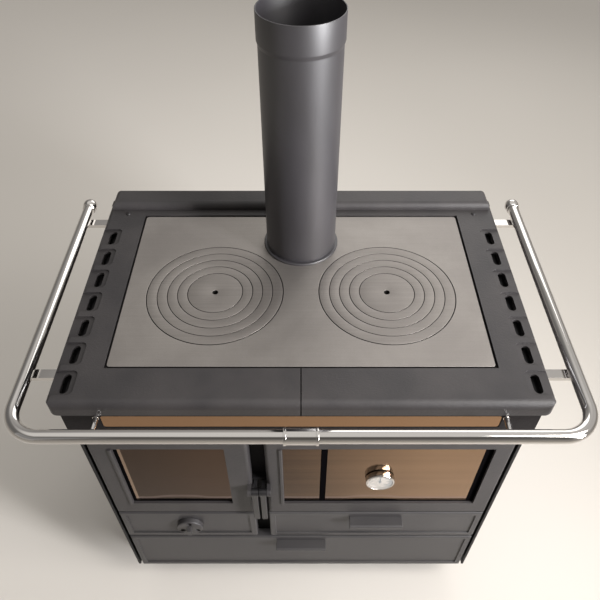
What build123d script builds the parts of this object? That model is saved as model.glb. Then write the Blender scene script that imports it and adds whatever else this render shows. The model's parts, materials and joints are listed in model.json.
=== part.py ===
"""Wood cookstove: hob with removable rings over a glazed firebox and a glazed oven, drawers below.

Millimetres. +Z is up, -Y is the front, +X is the viewer's right. The origin is on the floor,
under the middle of the overall box.
"""

import math
import os

from build123d import *

# ---- overall plan ----
top_width = 900
top_depth = 600
top_overhang = 22.5
back_margin = 5.75
door_recess = 11
door_thickness = 22
seal_gap = 3
frame_thickness = 10
side_wall = 6
sheet = 3
shelf_sheet = 4
box_sheet = 2
flange_rise = 1
flange_clearance = 0.5

# ---- heights, from the floor up ----
floor_gap = 20
plinth_height = 75
wood_front_height = 172
low_front_height = 120
door_height = 340
row_gap = 10
lowest_gap = 2
cornice_gap = 4
cornice_height = 62
skirt_height = 32

# ---- columns ----
door_side_gap = 6.5
firebox_door_width = 311
column_gap = 31
door_lap = 28
drawer_lap = 15
drawer_clearance = 4

# ---- worktop castings and hob plate ----
plate_thickness = 10
skirt_thickness = 12
ledge_drop = 8
ledge_width = 14
casting_split = 2
casting_corner = 18
front_nose = 16
side_nose = 10
hob_width = 717
hob_front_margin = 85.3
hob_back_margin = 76.7
hob_thickness = 9
hob_corner = 6
hob_gap = 4
ring_spread = 176
ring_hob_depth = 438
ring_setback = 191.7
full_ring_radii = [57, 77.5, 98, 118.5, 140]
ring_gap = 1.4
ring_step = 5
ring_lip = 4.5
lid_hole_radius = 6
vent_count = 7
vent_front_inset = 49
vent_back_inset = 149
vent_inset = 26
vent_length = 43
vent_width = 17
pocket_length = 54
pocket_inner = 10
pocket_depth = 2.5
pocket_outer_depth = 6
upstand_depth = 52
upstand_height = 17
upstand_nose = 13
upstand_inset = 8
upstand_flare = 6

# ---- flue ----
flue_inset = 86.9
pipe_radius = 75
pipe_wall = 2
pipe_length = 500
socket_length = 50
socket_clearance = 0.2
socket_flare = 8
collar_radius = 81
collar_thickness = 5
collar_wall = 4.5
collar_fit = 0.3
collar_spigot = 45
flue_hole_clearance = 1

# ---- rail ----
rail_radius = 12.5
rail_wall = 1.5
rail_standoff = 59
rail_side_reach = 52
rail_drop = 5
rail_bend = 60
rail_end_inset = 30
rail_ball_radius = 16
sleeve_length = 60
sleeve_wall = 2
sleeve_clearance = 0.1
sleeve_ring = 5
sleeve_ring_height = 1.2
side_bracket_inset = 80
side_bracket_width = 20
side_bracket_thickness = 8
side_bracket_drop = 19
front_bracket_spread = 366
front_bracket_radius = 5
front_bracket_drop = 38
front_bracket_bend = 12
front_bracket_setback = 18
bracket_rose_radius = 5.8
bracket_rose = 2
screw_head_radius = 5
screw_head_height = 3
screw_shank_radius = 3
screw_shank_clearance = 0.2
bracket_screw_pitch = 34
corner_screw_inset = 47
corner_screw_back_inset = 68

# ---- cornice and strip ----
cornice_plate = 12
cornice_flange = 6
strip_width = 720
strip_height = 36
strip_rise = 10.5
strip_recess = 3
strip_thickness = 2
strip_clearance = 1
strip_corner = 5

# ---- doors ----
firebox_glass_left_margin = 44
firebox_glass_right_margin = 47
oven_glass_left_margin = 36
oven_glass_right_margin = 34
glass_bottom_margin = 40
glass_top_margin = 69
door_face_plate = 6
glass_thickness = 4
glass_lap = 9
glass_clearance = 1
retainer_lap = 8
retainer_thickness = 3
bead_width = 8
bead_height = 3
bead_round = 2.5
inner_stile_round = 9
outer_stile_round = 4
seal_width = 9
seal_inset = 9
seal_play = 0.3

# ---- hinges ----
pin_radius = 3
pin_clearance = 0.05
pin_inset = 8
pin_reach = 14
pin_bore_depth = 16
hinge_plate_width = 18
hinge_plate_thickness = 4
hinge_plate_gap = 3
hinge_plate_front = 6

# ---- door handles ----
handle_drop = 221
handle_hub_radius = 9
handle_width = 15.5
handle_play = 0.75
handle_standoff = 13
handle_length = 112
handle_lever_width = 13
handle_lever_thickness = 9
handle_pin_radius = 3.5
lug_width = 8
lug_gap = 0.5
nose_width = 7
nose_height = 7
nose_reach = 32
striker_height = 8
striker_reach = 12
striker_width = 28
striker_play = 1.5

# ---- oven thermometer ----
gauge_side = 238
gauge_rise = 148
gauge_radius = 30
gauge_reach = 14.5
gauge_groove = 1.5
gauge_groove_place = 13
gauge_rim = 3.5
gauge_pocket = 6
gauge_round = 3
dial_thickness = 1
lens_thickness = 1.5
lens_clearance = 0.3
needle_length = 19
needle_tail = 6
needle_width = 2
needle_thickness = 0.8
needle_play = 0.4
needle_hub_radius = 3
gauge_stem_radius = 5
gauge_stem_clearance = 0.5
gauge_stem_length = 45

# ---- firebox ----
firebox_shell_sheet = 5
firebox_side_gap = 19
firebox_depth = 378
firebox_top_gap = 12
brick_thickness = 30
brick_height = 270
brick_gap = 1
side_brick_count = 2
grate_thickness = 14
grate_width = 180
grate_depth = 240
grate_front = 48
grate_bar = 12
grate_slot = 10
grate_border = 16
grate_lap = 12

# ---- oven ----
oven_play = 2
oven_depth = 460
oven_flange = 14
runner_levels = [95, 165, 235]
runner_width = 9
runner_height = 4
rack_level = 0
rack_wire = 3
rack_bar = 2
rack_bar_pitch = 22
rack_side_gap = 3
rack_front_gap = 64
rack_depth = 380
rack_float = 0.3

# ---- drawers ----
front_panel_thickness = 22
drawer_sheet = 2
low_drawer_depth = 400
wood_drawer_depth = 470
low_drawer_runner = 8
wood_drawer_runner = 14
runner_base = 22
runner_fence = 3
runner_fence_height = 12
runner_side_play = 1
grip_width = 120
grip_depth = 24
grip_thickness = 8
grip_lip = 14
front_border = 14
front_recess = 3
front_skin = 3
air_knob_radius = 30
air_knob_thickness = 12
air_knob_gap = 0.4
air_knob_shaft = 5
air_knob_shaft_clearance = 0.05
air_hole_radius = 6
air_hole_spread = 20
air_hole_count = 3
air_knob_grip = 12
air_knob_grip_width = 9

# ---- smoke box and damper ----
smoke_box_width = 180
smoke_box_margin = 8
smoke_box_height = 90
window_width = 70
window_height = 50
damper_lap = 8
damper_sheet = 4
damper_play = 0.5
damper_guide = 3
damper_rod_radius = 4
damper_rod_clearance = 0.5
damper_knob_radius = 9
damper_knob_length = 20
damper_knob_gap = 4

# ---- plinth and feet ----
toe_recess = 30
plinth_side_inset = 15
plinth_back_inset = 10
foot_radius = 22
foot_pad = 12
foot_stud = 8
foot_inset = 40

# ---- back panel ----
louvre_rows = 3
louvre_columns = 6
louvre_length = 60
louvre_height = 8
louvre_pitch_x = 100
louvre_pitch_z = 26
louvre_drop = 160

# ---- planes worked out from the sizes, front to back ----
sleeve_radius = rail_radius + sleeve_clearance + sleeve_wall
overall_depth = sleeve_radius + sleeve_ring_height + rail_standoff + top_depth
rail_front_y = sleeve_radius + sleeve_ring_height - overall_depth / 2
top_front_y = rail_front_y + rail_standoff
top_back_y = top_front_y + top_depth
door_face_y = top_front_y + door_recess
door_back_y = door_face_y + door_thickness
frame_front_y = door_back_y + seal_gap
frame_back_y = frame_front_y + frame_thickness
body_back_y = top_back_y - back_margin
back_inner_y = body_back_y - sheet
hob_depth = top_depth - hob_front_margin - hob_back_margin
hob_front_y = top_front_y + hob_front_margin
ring_scale = hob_depth / ring_hob_depth
ring_radii = [radius * ring_scale for radius in full_ring_radii]
ring_y = hob_front_y + ring_setback * ring_scale
flue_y = hob_front_y + hob_depth - flue_inset
vent_pitch = (top_depth - vent_front_inset - vent_back_inset) / (vent_count - 1)
side_bracket_places = [side_bracket_inset, top_depth - side_bracket_inset]

# ---- planes worked out from the sizes, bottom to top ----
base_bottom = floor_gap + plinth_height
base_top = base_bottom + sheet
wood_bottom = base_top + lowest_gap
wood_top = wood_bottom + wood_front_height
low_bottom = wood_top + row_gap
low_top = low_bottom + low_front_height
door_bottom = low_top + row_gap
door_top = door_bottom + door_height
cornice_bottom = door_top + cornice_gap
cornice_top = cornice_bottom + cornice_height
worktop_z = cornice_top + skirt_height
plate_bottom = worktop_z - plate_thickness
ledge_bottom = plate_bottom - ledge_drop
hob_top = plate_bottom + hob_thickness
low_shelf_top = low_bottom + ledge_drop
floor_shelf_top = door_bottom - shelf_sheet
rail_z = worktop_z - rail_drop
pipe_bottom = hob_top + collar_thickness

# ---- columns worked out from the sizes, left to right ----
half_body = top_width / 2 - top_overhang
inner_half = half_body - side_wall
doors_left = -inner_half + door_side_gap
doors_right = inner_half - door_side_gap
firebox_right = doors_left + firebox_door_width
oven_left = firebox_right + column_gap
gap_x = (firebox_right + oven_left) / 2
rail_side_x = top_width / 2 + rail_side_reach


def block(x0, x1, y0, y1, z0, z1):
    """A box between two corners."""
    middle = Pos((x0 + x1) / 2, (y0 + y1) / 2, (z0 + z1) / 2)
    return middle * Box(abs(x1 - x0), abs(y1 - y0), abs(z1 - z0))


def upright(radius, x, y, z0, z1):
    """A cylinder along Z."""
    return Pos(x, y, (z0 + z1) / 2) * Cylinder(radius, z1 - z0)


def forward(radius, x, z, y0, y1):
    """A cylinder along Y."""
    return Pos(x, (y0 + y1) / 2, z) * Rot(90, 0, 0) * Cylinder(radius, y1 - y0)


def sideways(radius, y, z, x0, x1):
    """A cylinder along X."""
    return Pos((x0 + x1) / 2, y, z) * Rot(0, 90, 0) * Cylinder(radius, x1 - x0)


def mirrored(shape):
    """The same piece on the other side."""
    return mirror(shape, about=Plane.YZ)


def save(name, *solids):
    """Writes one sub-part, of one solid or of a group of them."""
    shape = solids[0] if len(solids) == 1 else Compound(children=list(solids))
    export_step(shape, f"parts/{name}.step")


# ---- base ----
def make_feet():
    """Four screw feet: a pad on the floor and a stud up to the base plate."""
    x = half_body - plinth_side_inset - foot_inset
    front = frame_front_y + toe_recess + foot_inset
    back = body_back_y - plinth_back_inset - foot_inset
    feet = []
    for foot_x in (-x, x):
        for foot_y in (front, back):
            pad = upright(foot_radius, foot_x, foot_y, 0, foot_pad)
            pad = chamfer(pad.edges().group_by(Axis.Z)[-1], foot_pad / 4)
            feet.append(pad + upright(foot_stud, foot_x, foot_y, foot_pad, base_bottom))
    return feet


def make_plinth():
    """The set-back skirting ring under the base plate."""
    x = half_body - plinth_side_inset
    front = frame_front_y + toe_recess
    back = body_back_y - plinth_back_inset
    outer = block(-x, x, front, back, floor_gap, base_bottom)
    inner = block(-x + sheet, x - sheet, front + sheet, back - sheet, floor_gap, base_bottom)
    return outer - inner


def make_side_panel():
    """The right side panel, its top turned out under the vents; its rod hole serves the damper."""
    front = door_face_y + seal_gap
    panel = block(inner_half, half_body, front, body_back_y, base_bottom, ledge_bottom)
    turned = top_width / 2 - skirt_thickness - flange_clearance
    panel += block(half_body, turned, front, body_back_y, cornice_top + flange_rise,
                   cornice_top + flange_rise + sheet)
    hole = sideways(damper_rod_radius + damper_rod_clearance, damper_rod_y, damper_z,
                    inner_half, half_body)
    return panel, panel - hole


def make_back_panel():
    """The back sheet with its cooling louvres."""
    panel = block(-inner_half, inner_half, back_inner_y, body_back_y, base_top, plate_bottom)
    for z in range(louvre_rows):
        for x in range(louvre_columns):
            left = (x - (louvre_columns - 1) / 2) * louvre_pitch_x - louvre_length / 2
            bottom = worktop_z - louvre_drop - z * louvre_pitch_z
            panel -= block(left, left + louvre_length, back_inner_y, body_back_y,
                           bottom, bottom + louvre_height)
    return panel


def make_shelf(top, opening=None):
    """A full-width sheet between two rows, its top at the given height."""
    shelf = block(-inner_half, inner_half, frame_back_y, back_inner_y, top - shelf_sheet, top)
    return shelf - opening if opening else shelf


def make_dividers():
    """The upright sheet between the columns: below and above the middle shelf."""
    x0 = gap_x - shelf_sheet / 2
    x1 = gap_x + shelf_sheet / 2
    low = block(x0, x1, frame_back_y, back_inner_y, low_shelf_top, floor_shelf_top - shelf_sheet)
    high = block(x0, x1, frame_back_y, back_inner_y, floor_shelf_top, firebox_shell_top)
    return low, high


def make_front_frame():
    """The cast front with its five openings."""
    frame = block(-inner_half, inner_half, frame_front_y, frame_back_y, base_top, cornice_bottom)
    door_z = (door_bottom + door_lap, door_top - door_lap)
    low_z = (low_shelf_top, low_top - drawer_lap)
    columns = ((doors_left, firebox_right), (oven_left, doors_right))
    for left, right in columns:
        for bottom, top in (door_z, low_z):
            frame -= block(left + door_lap, right - door_lap, frame_front_y, frame_back_y, bottom, top)
    return frame - block(doors_left + drawer_lap, doors_right - drawer_lap, frame_front_y, frame_back_y,
                         base_top + drawer_lap - lowest_gap, wood_top - drawer_lap)


# ---- cornice ----
def strip_shape(width, height, y0, y1):
    """A flat bar with softened corners, standing in the cornice face."""
    z = (cornice_bottom + cornice_top) / 2 + strip_rise
    outline = Pos(0, y1, z) * Rot(90, 0, 0) * RectangleRounded(width, height, strip_corner)
    return extrude(outline, y1 - y0)


def make_cornice():
    """The channel under the worktop, with a long shallow recess in its face."""
    face_back = top_front_y + cornice_plate
    face = block(-half_body, half_body, top_front_y, face_back, cornice_bottom, cornice_top)
    low = block(-inner_half, inner_half, face_back, frame_back_y,
                cornice_bottom, cornice_bottom + cornice_flange)
    high = block(-inner_half, inner_half, face_back, frame_back_y,
                 cornice_top - cornice_flange, cornice_top)
    recess = strip_shape(strip_width, strip_height, top_front_y, top_front_y + strip_recess)
    return face + low + high - recess


def make_strip():
    """The polished strip on the floor of the recess."""
    back = top_front_y + strip_recess
    slack = 2 * strip_clearance
    return strip_shape(strip_width - slack, strip_height - slack, back - strip_thickness, back)


# ---- worktop ----
def corner_screw_place():
    """Centre of the screw by the right casting's back corner: x, y."""
    return top_width / 2 - corner_screw_inset, top_back_y - corner_screw_back_inset


def bracket_screw_places():
    """Centres of the screws through the skirt, one each side of every side bracket: y, z."""
    z = worktop_z - side_bracket_drop
    places = []
    for place in side_bracket_places:
        for side in (-1, 1):
            places.append((top_front_y + place + side * bracket_screw_pitch / 2, z))
    return places


def make_right_casting():
    """The right worktop casting: nosed plate, skirt, ledge for the hob plate and side vents."""
    split = casting_split / 2
    right = top_width / 2
    casting = block(split, right, top_front_y, top_back_y, cornice_top, worktop_z)
    nosed = fillet(casting.edges().filter_by(Axis.X).group_by(Axis.Z)[-1].sort_by(Axis.Y)[0], front_nose)
    bevelled = fillet(casting.edges().filter_by(Axis.Y).group_by(Axis.Z)[-1].sort_by(Axis.X)[-1], side_nose)
    rounded = fillet(casting.edges().filter_by(Axis.Z).group_by(Axis.X)[-1], casting_corner)
    casting = nosed & bevelled & rounded
    casting -= block(split, right - skirt_thickness, top_front_y + skirt_thickness, top_back_y,
                     cornice_top, plate_bottom)
    half_hole = hob_width / 2 + hob_gap
    hole_front = hob_front_y - hob_gap
    hole_back = hob_front_y + hob_depth + hob_gap
    casting += block(split, half_hole + ledge_width, hole_front - ledge_width,
                     hole_back + ledge_width, ledge_bottom, plate_bottom)
    casting -= block(split, half_hole, hole_front, hole_back, plate_bottom, worktop_z)
    casting -= block(split, half_hole - ledge_width, hole_front + ledge_width,
                     hole_back - ledge_width, ledge_bottom, plate_bottom)
    vent_x = right - vent_inset
    for place in range(vent_count):
        y = top_front_y + vent_front_inset + place * vent_pitch
        inner = vent_x - vent_width / 2 - pocket_inner
        wedge = Polyline((inner, worktop_z), (inner, worktop_z - pocket_depth),
                         (right, worktop_z - pocket_outer_depth), (right, worktop_z), close=True)
        pocket = extrude(Pos(0, y + pocket_length / 2, 0) * make_face(Plane.XZ * wedge), pocket_length)
        pocket = fillet(pocket.edges().filter_by(Axis.Z).group_by(Axis.X)[0], pocket_inner)
        slot = Pos(vent_x, y, plate_bottom) * Rot(0, 0, 90) * SlotOverall(vent_length, vent_width)
        casting -= pocket
        casting -= extrude(slot, plate_thickness)
    hole = screw_shank_radius + screw_shank_clearance
    x, y = corner_screw_place()
    casting -= upright(hole, x, y, plate_bottom, worktop_z)
    for y, z in bracket_screw_places():
        casting -= sideways(hole, y, z, right - skirt_thickness, right)
    return casting


def make_top_screws():
    """Domed screws: one down through each back corner, four in through each side of the skirt."""
    x, y = corner_screw_place()
    head = upright(screw_head_radius, x, y, worktop_z, worktop_z + screw_head_height)
    head = fillet(head.edges().group_by(Axis.Z)[-1], screw_head_height * 0.8)
    screw = head + upright(screw_shank_radius, x, y, plate_bottom, worktop_z)
    screws = [screw, mirrored(screw)]
    side = top_width / 2
    for y, z in bracket_screw_places():
        head = sideways(screw_head_radius, y, z, side, side + screw_head_height)
        head = fillet(head.edges().group_by(Axis.X)[-1], screw_head_height * 0.8)
        screw = head + sideways(screw_shank_radius, y, z, side - skirt_thickness, side)
        screws += [screw, mirrored(screw)]
    return screws


def make_upstand():
    """The nosed bar along the back edge of the worktop, its ends flared at the foot."""
    half = top_width / 2 - upstand_inset
    front = top_back_y - upstand_depth
    bar = block(-half, half, front, top_back_y, worktop_z, worktop_z + upstand_height)
    nosed = fillet(bar.edges().filter_by(Axis.X).group_by(Axis.Z)[-1].sort_by(Axis.Y)[0], upstand_nose)
    ended = fillet(bar.edges().filter_by(Axis.Y).group_by(Axis.Z)[-1], upstand_nose)
    rounded = fillet(bar.edges().filter_by(Axis.Z).group_by(Axis.Y)[-1], casting_corner - upstand_inset)
    bar = nosed & ended & rounded
    y0, y1 = front + upstand_nose, top_back_y - casting_corner
    flare = block(half, half + upstand_flare, y0, y1, worktop_z, worktop_z + upstand_flare)
    flare -= forward(upstand_flare, half + upstand_flare, worktop_z + upstand_flare, y0, y1)
    return bar + flare + mirrored(flare)


# ---- hob ----
def stepped_disc(radius, x, fit):
    """A disc with a step under its rim; fit is how much smaller it is than its seat."""
    top = upright(radius - fit, x, ring_y, plate_bottom + ring_lip, hob_top)
    foot = upright(radius - ring_step - fit, x, ring_y, plate_bottom, plate_bottom + ring_lip)
    return top + foot


def make_hob_plate():
    """The hob plate with two stepped ring seats and the flue hole."""
    plate = block(-hob_width / 2, hob_width / 2, hob_front_y, hob_front_y + hob_depth,
                  plate_bottom, hob_top)
    plate = fillet(plate.edges().filter_by(Axis.Z), hob_corner)
    for x in (-ring_spread, ring_spread):
        plate -= stepped_disc(ring_radii[-1], x, 0)
    hole = pipe_radius + flue_hole_clearance
    return plate - upright(hole, 0, flue_y, plate_bottom, hob_top)


def make_ring(number, x):
    """Hob ring number 1 to 4, counted outwards from the lid."""
    ring = stepped_disc(ring_radii[number], x, ring_gap)
    return ring - stepped_disc(ring_radii[number - 1], x, 0)


def make_lid(x):
    """The middle lid with the hole for its lifter."""
    lid = stepped_disc(ring_radii[0], x, ring_gap)
    return lid - upright(lid_hole_radius, x, ring_y, plate_bottom, hob_top)


# ---- flue ----
def make_collar():
    """The flue collar: flange on the hob plate, spigot up into the pipe and lip down the hole."""
    bore = pipe_radius - pipe_wall - collar_fit - collar_wall
    flange = upright(collar_radius, 0, flue_y, hob_top, pipe_bottom)
    flange = fillet(flange.edges().group_by(Axis.Z)[-1], collar_thickness / 3)
    spigot = upright(bore + collar_wall, 0, flue_y, pipe_bottom, pipe_bottom + collar_spigot)
    lip = upright(bore + collar_wall, 0, flue_y, plate_bottom, hob_top)
    hollow = upright(bore, 0, flue_y, plate_bottom, pipe_bottom + collar_spigot)
    return flange + spigot + lip - hollow


def make_pipe():
    """One length of flue pipe, its top end widened into a socket for the next length."""
    socket_bore = pipe_radius + socket_clearance
    top = pipe_bottom + pipe_length
    socket_bottom = top - socket_length
    flare_bottom = socket_bottom - socket_flare
    bore = pipe_radius - pipe_wall
    profile = Polyline((bore, pipe_bottom), (pipe_radius, pipe_bottom), (pipe_radius, flare_bottom),
                       (socket_bore + pipe_wall, socket_bottom), (socket_bore + pipe_wall, top),
                       (socket_bore, top), (socket_bore, socket_bottom), (bore, flare_bottom),
                       close=True)
    face = make_face(Plane.XZ * profile)
    return Pos(0, flue_y, 0) * revolve(face, Axis.Z)


def make_smoke_box():
    """The box under the flue hole, with its by-pass window and the damper's two guides."""
    inner = block(-smoke_half + sheet, smoke_half - sheet, smoke_front_y + sheet,
                  smoke_back_y - sheet, smoke_bottom, plate_bottom)
    box = block(-smoke_half, smoke_half, smoke_front_y, smoke_back_y, smoke_bottom, plate_bottom)
    window = block(-window_width / 2, window_width / 2, smoke_front_y, smoke_front_y + sheet,
                   damper_z - window_height / 2, damper_z + window_height / 2)
    box -= inner
    box -= window
    guide_front = smoke_front_y - damper_sheet - 2 * damper_play - damper_guide
    half_plate = window_height / 2 + damper_lap + damper_play
    for side in (-1, 1):
        edge = damper_z + side * half_plate
        outer = edge + side * damper_guide
        inner_lip = edge - side * damper_lap / 2
        box += block(-smoke_half, smoke_half, guide_front, smoke_front_y, edge, outer)
        box += block(-smoke_half, smoke_half, guide_front, guide_front + damper_guide, inner_lip, outer)
    return box


def make_damper():
    """The by-pass damper: a plate over the window, its pull rod and its knob."""
    half = window_height / 2 + damper_lap
    plate = block(-window_width / 2 - damper_lap, window_width / 2 + damper_lap,
                  damper_y - damper_sheet / 2, damper_y + damper_sheet / 2,
                  damper_z - half, damper_z + half)
    knob_left = half_body + damper_knob_gap
    start = window_width / 2
    rod = sideways(damper_rod_radius, damper_rod_y, damper_z, start, knob_left)
    knob = sideways(damper_knob_radius, damper_rod_y, damper_z, knob_left, knob_left + damper_knob_length)
    knob = fillet(knob.edges().filter_by(GeomType.CIRCLE), damper_knob_radius / 3)
    return plate + rod + knob


# ---- rail ----
def make_right_rail():
    """The right rail: along the front, round the corner and back along the side."""
    back_y = top_back_y - rail_end_inset - rail_ball_radius
    path = FilletPolyline((casting_split / 2, rail_front_y, rail_z), (rail_side_x, rail_front_y, rail_z),
                          (rail_side_x, back_y, rail_z), radius=rail_bend)
    ring = Circle(rail_radius) - Circle(rail_radius - rail_wall)
    section = Plane(origin=path @ 0, z_dir=path % 0) * ring
    return sweep(section, path)


def make_sleeve():
    """The sleeve that joins the two rails, with a ring at each end."""
    half = sleeve_length / 2
    sleeve = sideways(sleeve_radius, rail_front_y, rail_z, -half, half)
    for side in (-1, 1):
        ends = sorted((side * half, side * (half - sleeve_ring)))
        sleeve += sideways(sleeve_radius + sleeve_ring_height, rail_front_y, rail_z, ends[0], ends[1])
    return sleeve - sideways(rail_radius + sleeve_clearance, rail_front_y, rail_z, -half, half)


def make_rail_balls():
    """The ball on each rail's back end, cut flat where it meets the tube."""
    y = top_back_y - rail_end_inset
    ball = Pos(rail_side_x, y, rail_z) * Sphere(rail_ball_radius)
    flat = y - rail_ball_radius
    ball += forward(rail_radius, rail_side_x, rail_z, flat, y)
    return ball, mirrored(ball)


def make_rail_brackets():
    """Two flat bars on each side and one elbow on each side of the front."""
    brackets = []
    tube = rail_radius
    for place in side_bracket_places:
        y = top_front_y + place
        low = worktop_z - side_bracket_drop - side_bracket_thickness / 2
        bar = block(top_width / 2, rail_side_x, y - side_bracket_width / 2,
                    y + side_bracket_width / 2, low, low + side_bracket_thickness)
        bar -= forward(tube, rail_side_x, rail_z, y - side_bracket_width, y + side_bracket_width)
        brackets += [bar, mirrored(bar)]
    z = worktop_z - front_bracket_drop
    x = front_bracket_spread
    path = FilletPolyline((x, top_front_y - bracket_rose, z),
                          (x, rail_front_y + front_bracket_setback, z),
                          (x, rail_front_y, rail_z), radius=front_bracket_bend)
    section = Plane(origin=path @ 0, z_dir=path % 0) * Circle(front_bracket_radius)
    elbow = sweep(section, path)
    elbow -= sideways(tube, rail_front_y, rail_z, x - tube, x + tube)
    elbow += forward(bracket_rose_radius, x, z, top_front_y - bracket_rose, top_front_y)
    return brackets + [elbow, mirrored(elbow)]


# ---- doors ----
def frame_ring(x0, x1, z0, z1, width, y0, y1, corner=0):
    """A flat four-sided ring round the box x0..x1, z0..z1, of the given width outwards."""
    ring_face = Rectangle(x1 - x0 + 2 * width, z1 - z0 + 2 * width)
    if corner:
        ring_face = RectangleRounded(x1 - x0 + 2 * width, z1 - z0 + 2 * width, corner)
    ring_face -= Rectangle(x1 - x0, z1 - z0)
    placed = Pos((x0 + x1) / 2, y1, (z0 + z1) / 2) * Rot(90, 0, 0) * ring_face
    return extrude(placed, y1 - y0)


def glass_window(left, right, left_margin, right_margin):
    """The daylight opening of a door: x0, x1, z0, z1."""
    return (left + left_margin, right - right_margin,
            door_bottom + glass_bottom_margin, door_top - glass_top_margin)


firebox_window = glass_window(doors_left, firebox_right, firebox_glass_left_margin,
                              firebox_glass_right_margin)
oven_window = glass_window(oven_left, doors_right, oven_glass_left_margin, oven_glass_right_margin)


def grown(window, amount):
    """A window opening made larger all round."""
    x0, x1, z0, z1 = window
    return x0 - amount, x1 + amount, z0 - amount, z1 + amount


def window_block(window, y0, y1):
    """A box of a window's outline."""
    x0, x1, z0, z1 = window
    return block(x0, x1, y0, y1, z0, z1)


def make_door_frame(left, right, window, hinge_side):
    """A cast door: rounded slab, window stepped for glass and retainer, bead, pin bores and lug."""
    door = block(left, right, door_face_y, door_back_y, door_bottom, door_top)
    fronts = door.edges().filter_by(Axis.Z).group_by(Axis.Y)[0].sort_by(Axis.X)
    inner_edge = fronts[-1] if hinge_side < 0 else fronts[0]
    door = fillet(inner_edge, inner_stile_round)
    fronts = door.edges().filter_by(Axis.Z).group_by(Axis.Y)[0].sort_by(Axis.X)
    outer_edge = fronts[0] if hinge_side < 0 else fronts[-1]
    door = fillet(outer_edge, outer_stile_round)
    glass_front = door_face_y + door_face_plate
    retainer_front = glass_front + glass_thickness
    door -= window_block(window, door_face_y, glass_front)
    door -= window_block(grown(window, glass_lap + glass_clearance), glass_front, retainer_front)
    pocket = glass_lap + glass_clearance + retainer_lap + glass_clearance
    door -= window_block(grown(window, pocket), retainer_front, door_back_y)
    bead = block(window[0] - bead_width, window[0], door_face_y - bead_height, door_face_y,
                 window[2], window[3])
    door += fillet(bead.edges().filter_by(Axis.Z).group_by(Axis.Y)[0], bead_round)
    pin_x = pin_place(hinge_side)
    for z0, z1 in ((door_bottom, door_bottom + pin_bore_depth), (door_top - pin_bore_depth, door_top)):
        door -= upright(pin_radius + pin_clearance, pin_x, pin_y, z0, z1)
    return door + handle_lug(hinge_side)


def pin_place(hinge_side):
    """The X of a column's hinge pins."""
    return doors_left + pin_inset if hinge_side < 0 else doors_right - pin_inset


def handle_centre(hinge_side):
    """The X of the middle of a door's handle, beside the gap's centre line."""
    return gap_x + hinge_side * (handle_width / 2 + handle_play)


def handle_lug(hinge_side):
    """The ear on the door that carries the handle, with its fixed pivot pin."""
    centre = handle_centre(hinge_side)
    inner = centre + hinge_side * (handle_width / 2 + lug_gap)
    outer = inner + hinge_side * lug_width
    x0, x1 = sorted((inner, outer))
    ear = sideways(handle_hub_radius, hub_y, hub_z, x0, x1)
    ear += block(x0, x1, hub_y, door_face_y + inner_stile_round,
                 hub_z - handle_hub_radius, hub_z + handle_hub_radius)
    p0, p1 = sorted((inner, centre - hinge_side * handle_width / 2))
    return ear + sideways(handle_pin_radius, hub_y, hub_z, p0, p1)


def make_handle(hinge_side):
    """A door handle: hub, hanging lever and the latch nose that reaches under the striker."""
    centre = handle_centre(hinge_side)
    half = handle_width / 2
    hub = sideways(handle_hub_radius, hub_y, hub_z, centre - half, centre + half)
    lever_half = handle_lever_width / 2
    front = hub_y - handle_hub_radius
    lever = block(centre - lever_half, centre + lever_half, front, front + handle_lever_thickness,
                  hub_z - handle_length, hub_z)
    lever = fillet(lever.edges().filter_by(Axis.Z), handle_lever_thickness / 3)
    lever = fillet(lever.edges().group_by(Axis.Z)[0], handle_lever_thickness / 4)
    nose = block(centre - nose_width / 2, centre + nose_width / 2, hub_y, hub_y + nose_reach,
                 hub_z - nose_height / 2, hub_z + nose_height / 2)
    handle = hub + lever + nose
    return handle - sideways(handle_pin_radius + pin_clearance, hub_y, hub_z, centre - half, centre + half)


def make_door_glass(window):
    """The pane behind a door's window."""
    front = door_face_y + door_face_plate
    return window_block(grown(window, glass_lap), front, front + glass_thickness)


def make_retainer(window):
    """The steel frame that holds the pane from behind."""
    front = door_face_y + door_face_plate + glass_thickness
    outer = window_block(grown(window, glass_lap + glass_clearance + retainer_lap),
                         front, front + retainer_thickness)
    return outer - window_block(window, front, front + retainer_thickness)


def make_seal(left, right):
    """The rope seal on the back of a door."""
    inset = seal_inset + seal_width
    return frame_ring(left + inset, right - inset, door_bottom + inset, door_top - inset,
                      seal_width, door_back_y, frame_front_y - seal_play)


def make_hinge_pins():
    """Pins over both doors, and the plates with pins under them and beside the ash drawer."""
    pins = []
    for side in (-1, 1):
        x = pin_place(side)
        pins.append(upright(pin_radius, x, pin_y, door_top - pin_reach, cornice_bottom))
        top = door_bottom - hinge_plate_gap
        bottom = top - hinge_plate_thickness
        plate = block(x - hinge_plate_width / 2, x + hinge_plate_width / 2, pin_y - hinge_plate_front,
                      frame_front_y, bottom, top)
        plate = fillet(plate.edges().filter_by(Axis.Z).group_by(Axis.Y)[0], hinge_plate_front / 2)
        pins.append(plate + upright(pin_radius, x, pin_y, top, door_bottom + pin_reach))
    return pins


def make_striker():
    """The block on the front frame that both latch noses reach under."""
    bottom = hub_z + nose_height / 2 + striker_play
    return block(gap_x - striker_width / 2, gap_x + striker_width / 2, frame_front_y - striker_reach,
                 frame_front_y, bottom, bottom + striker_height)


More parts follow.
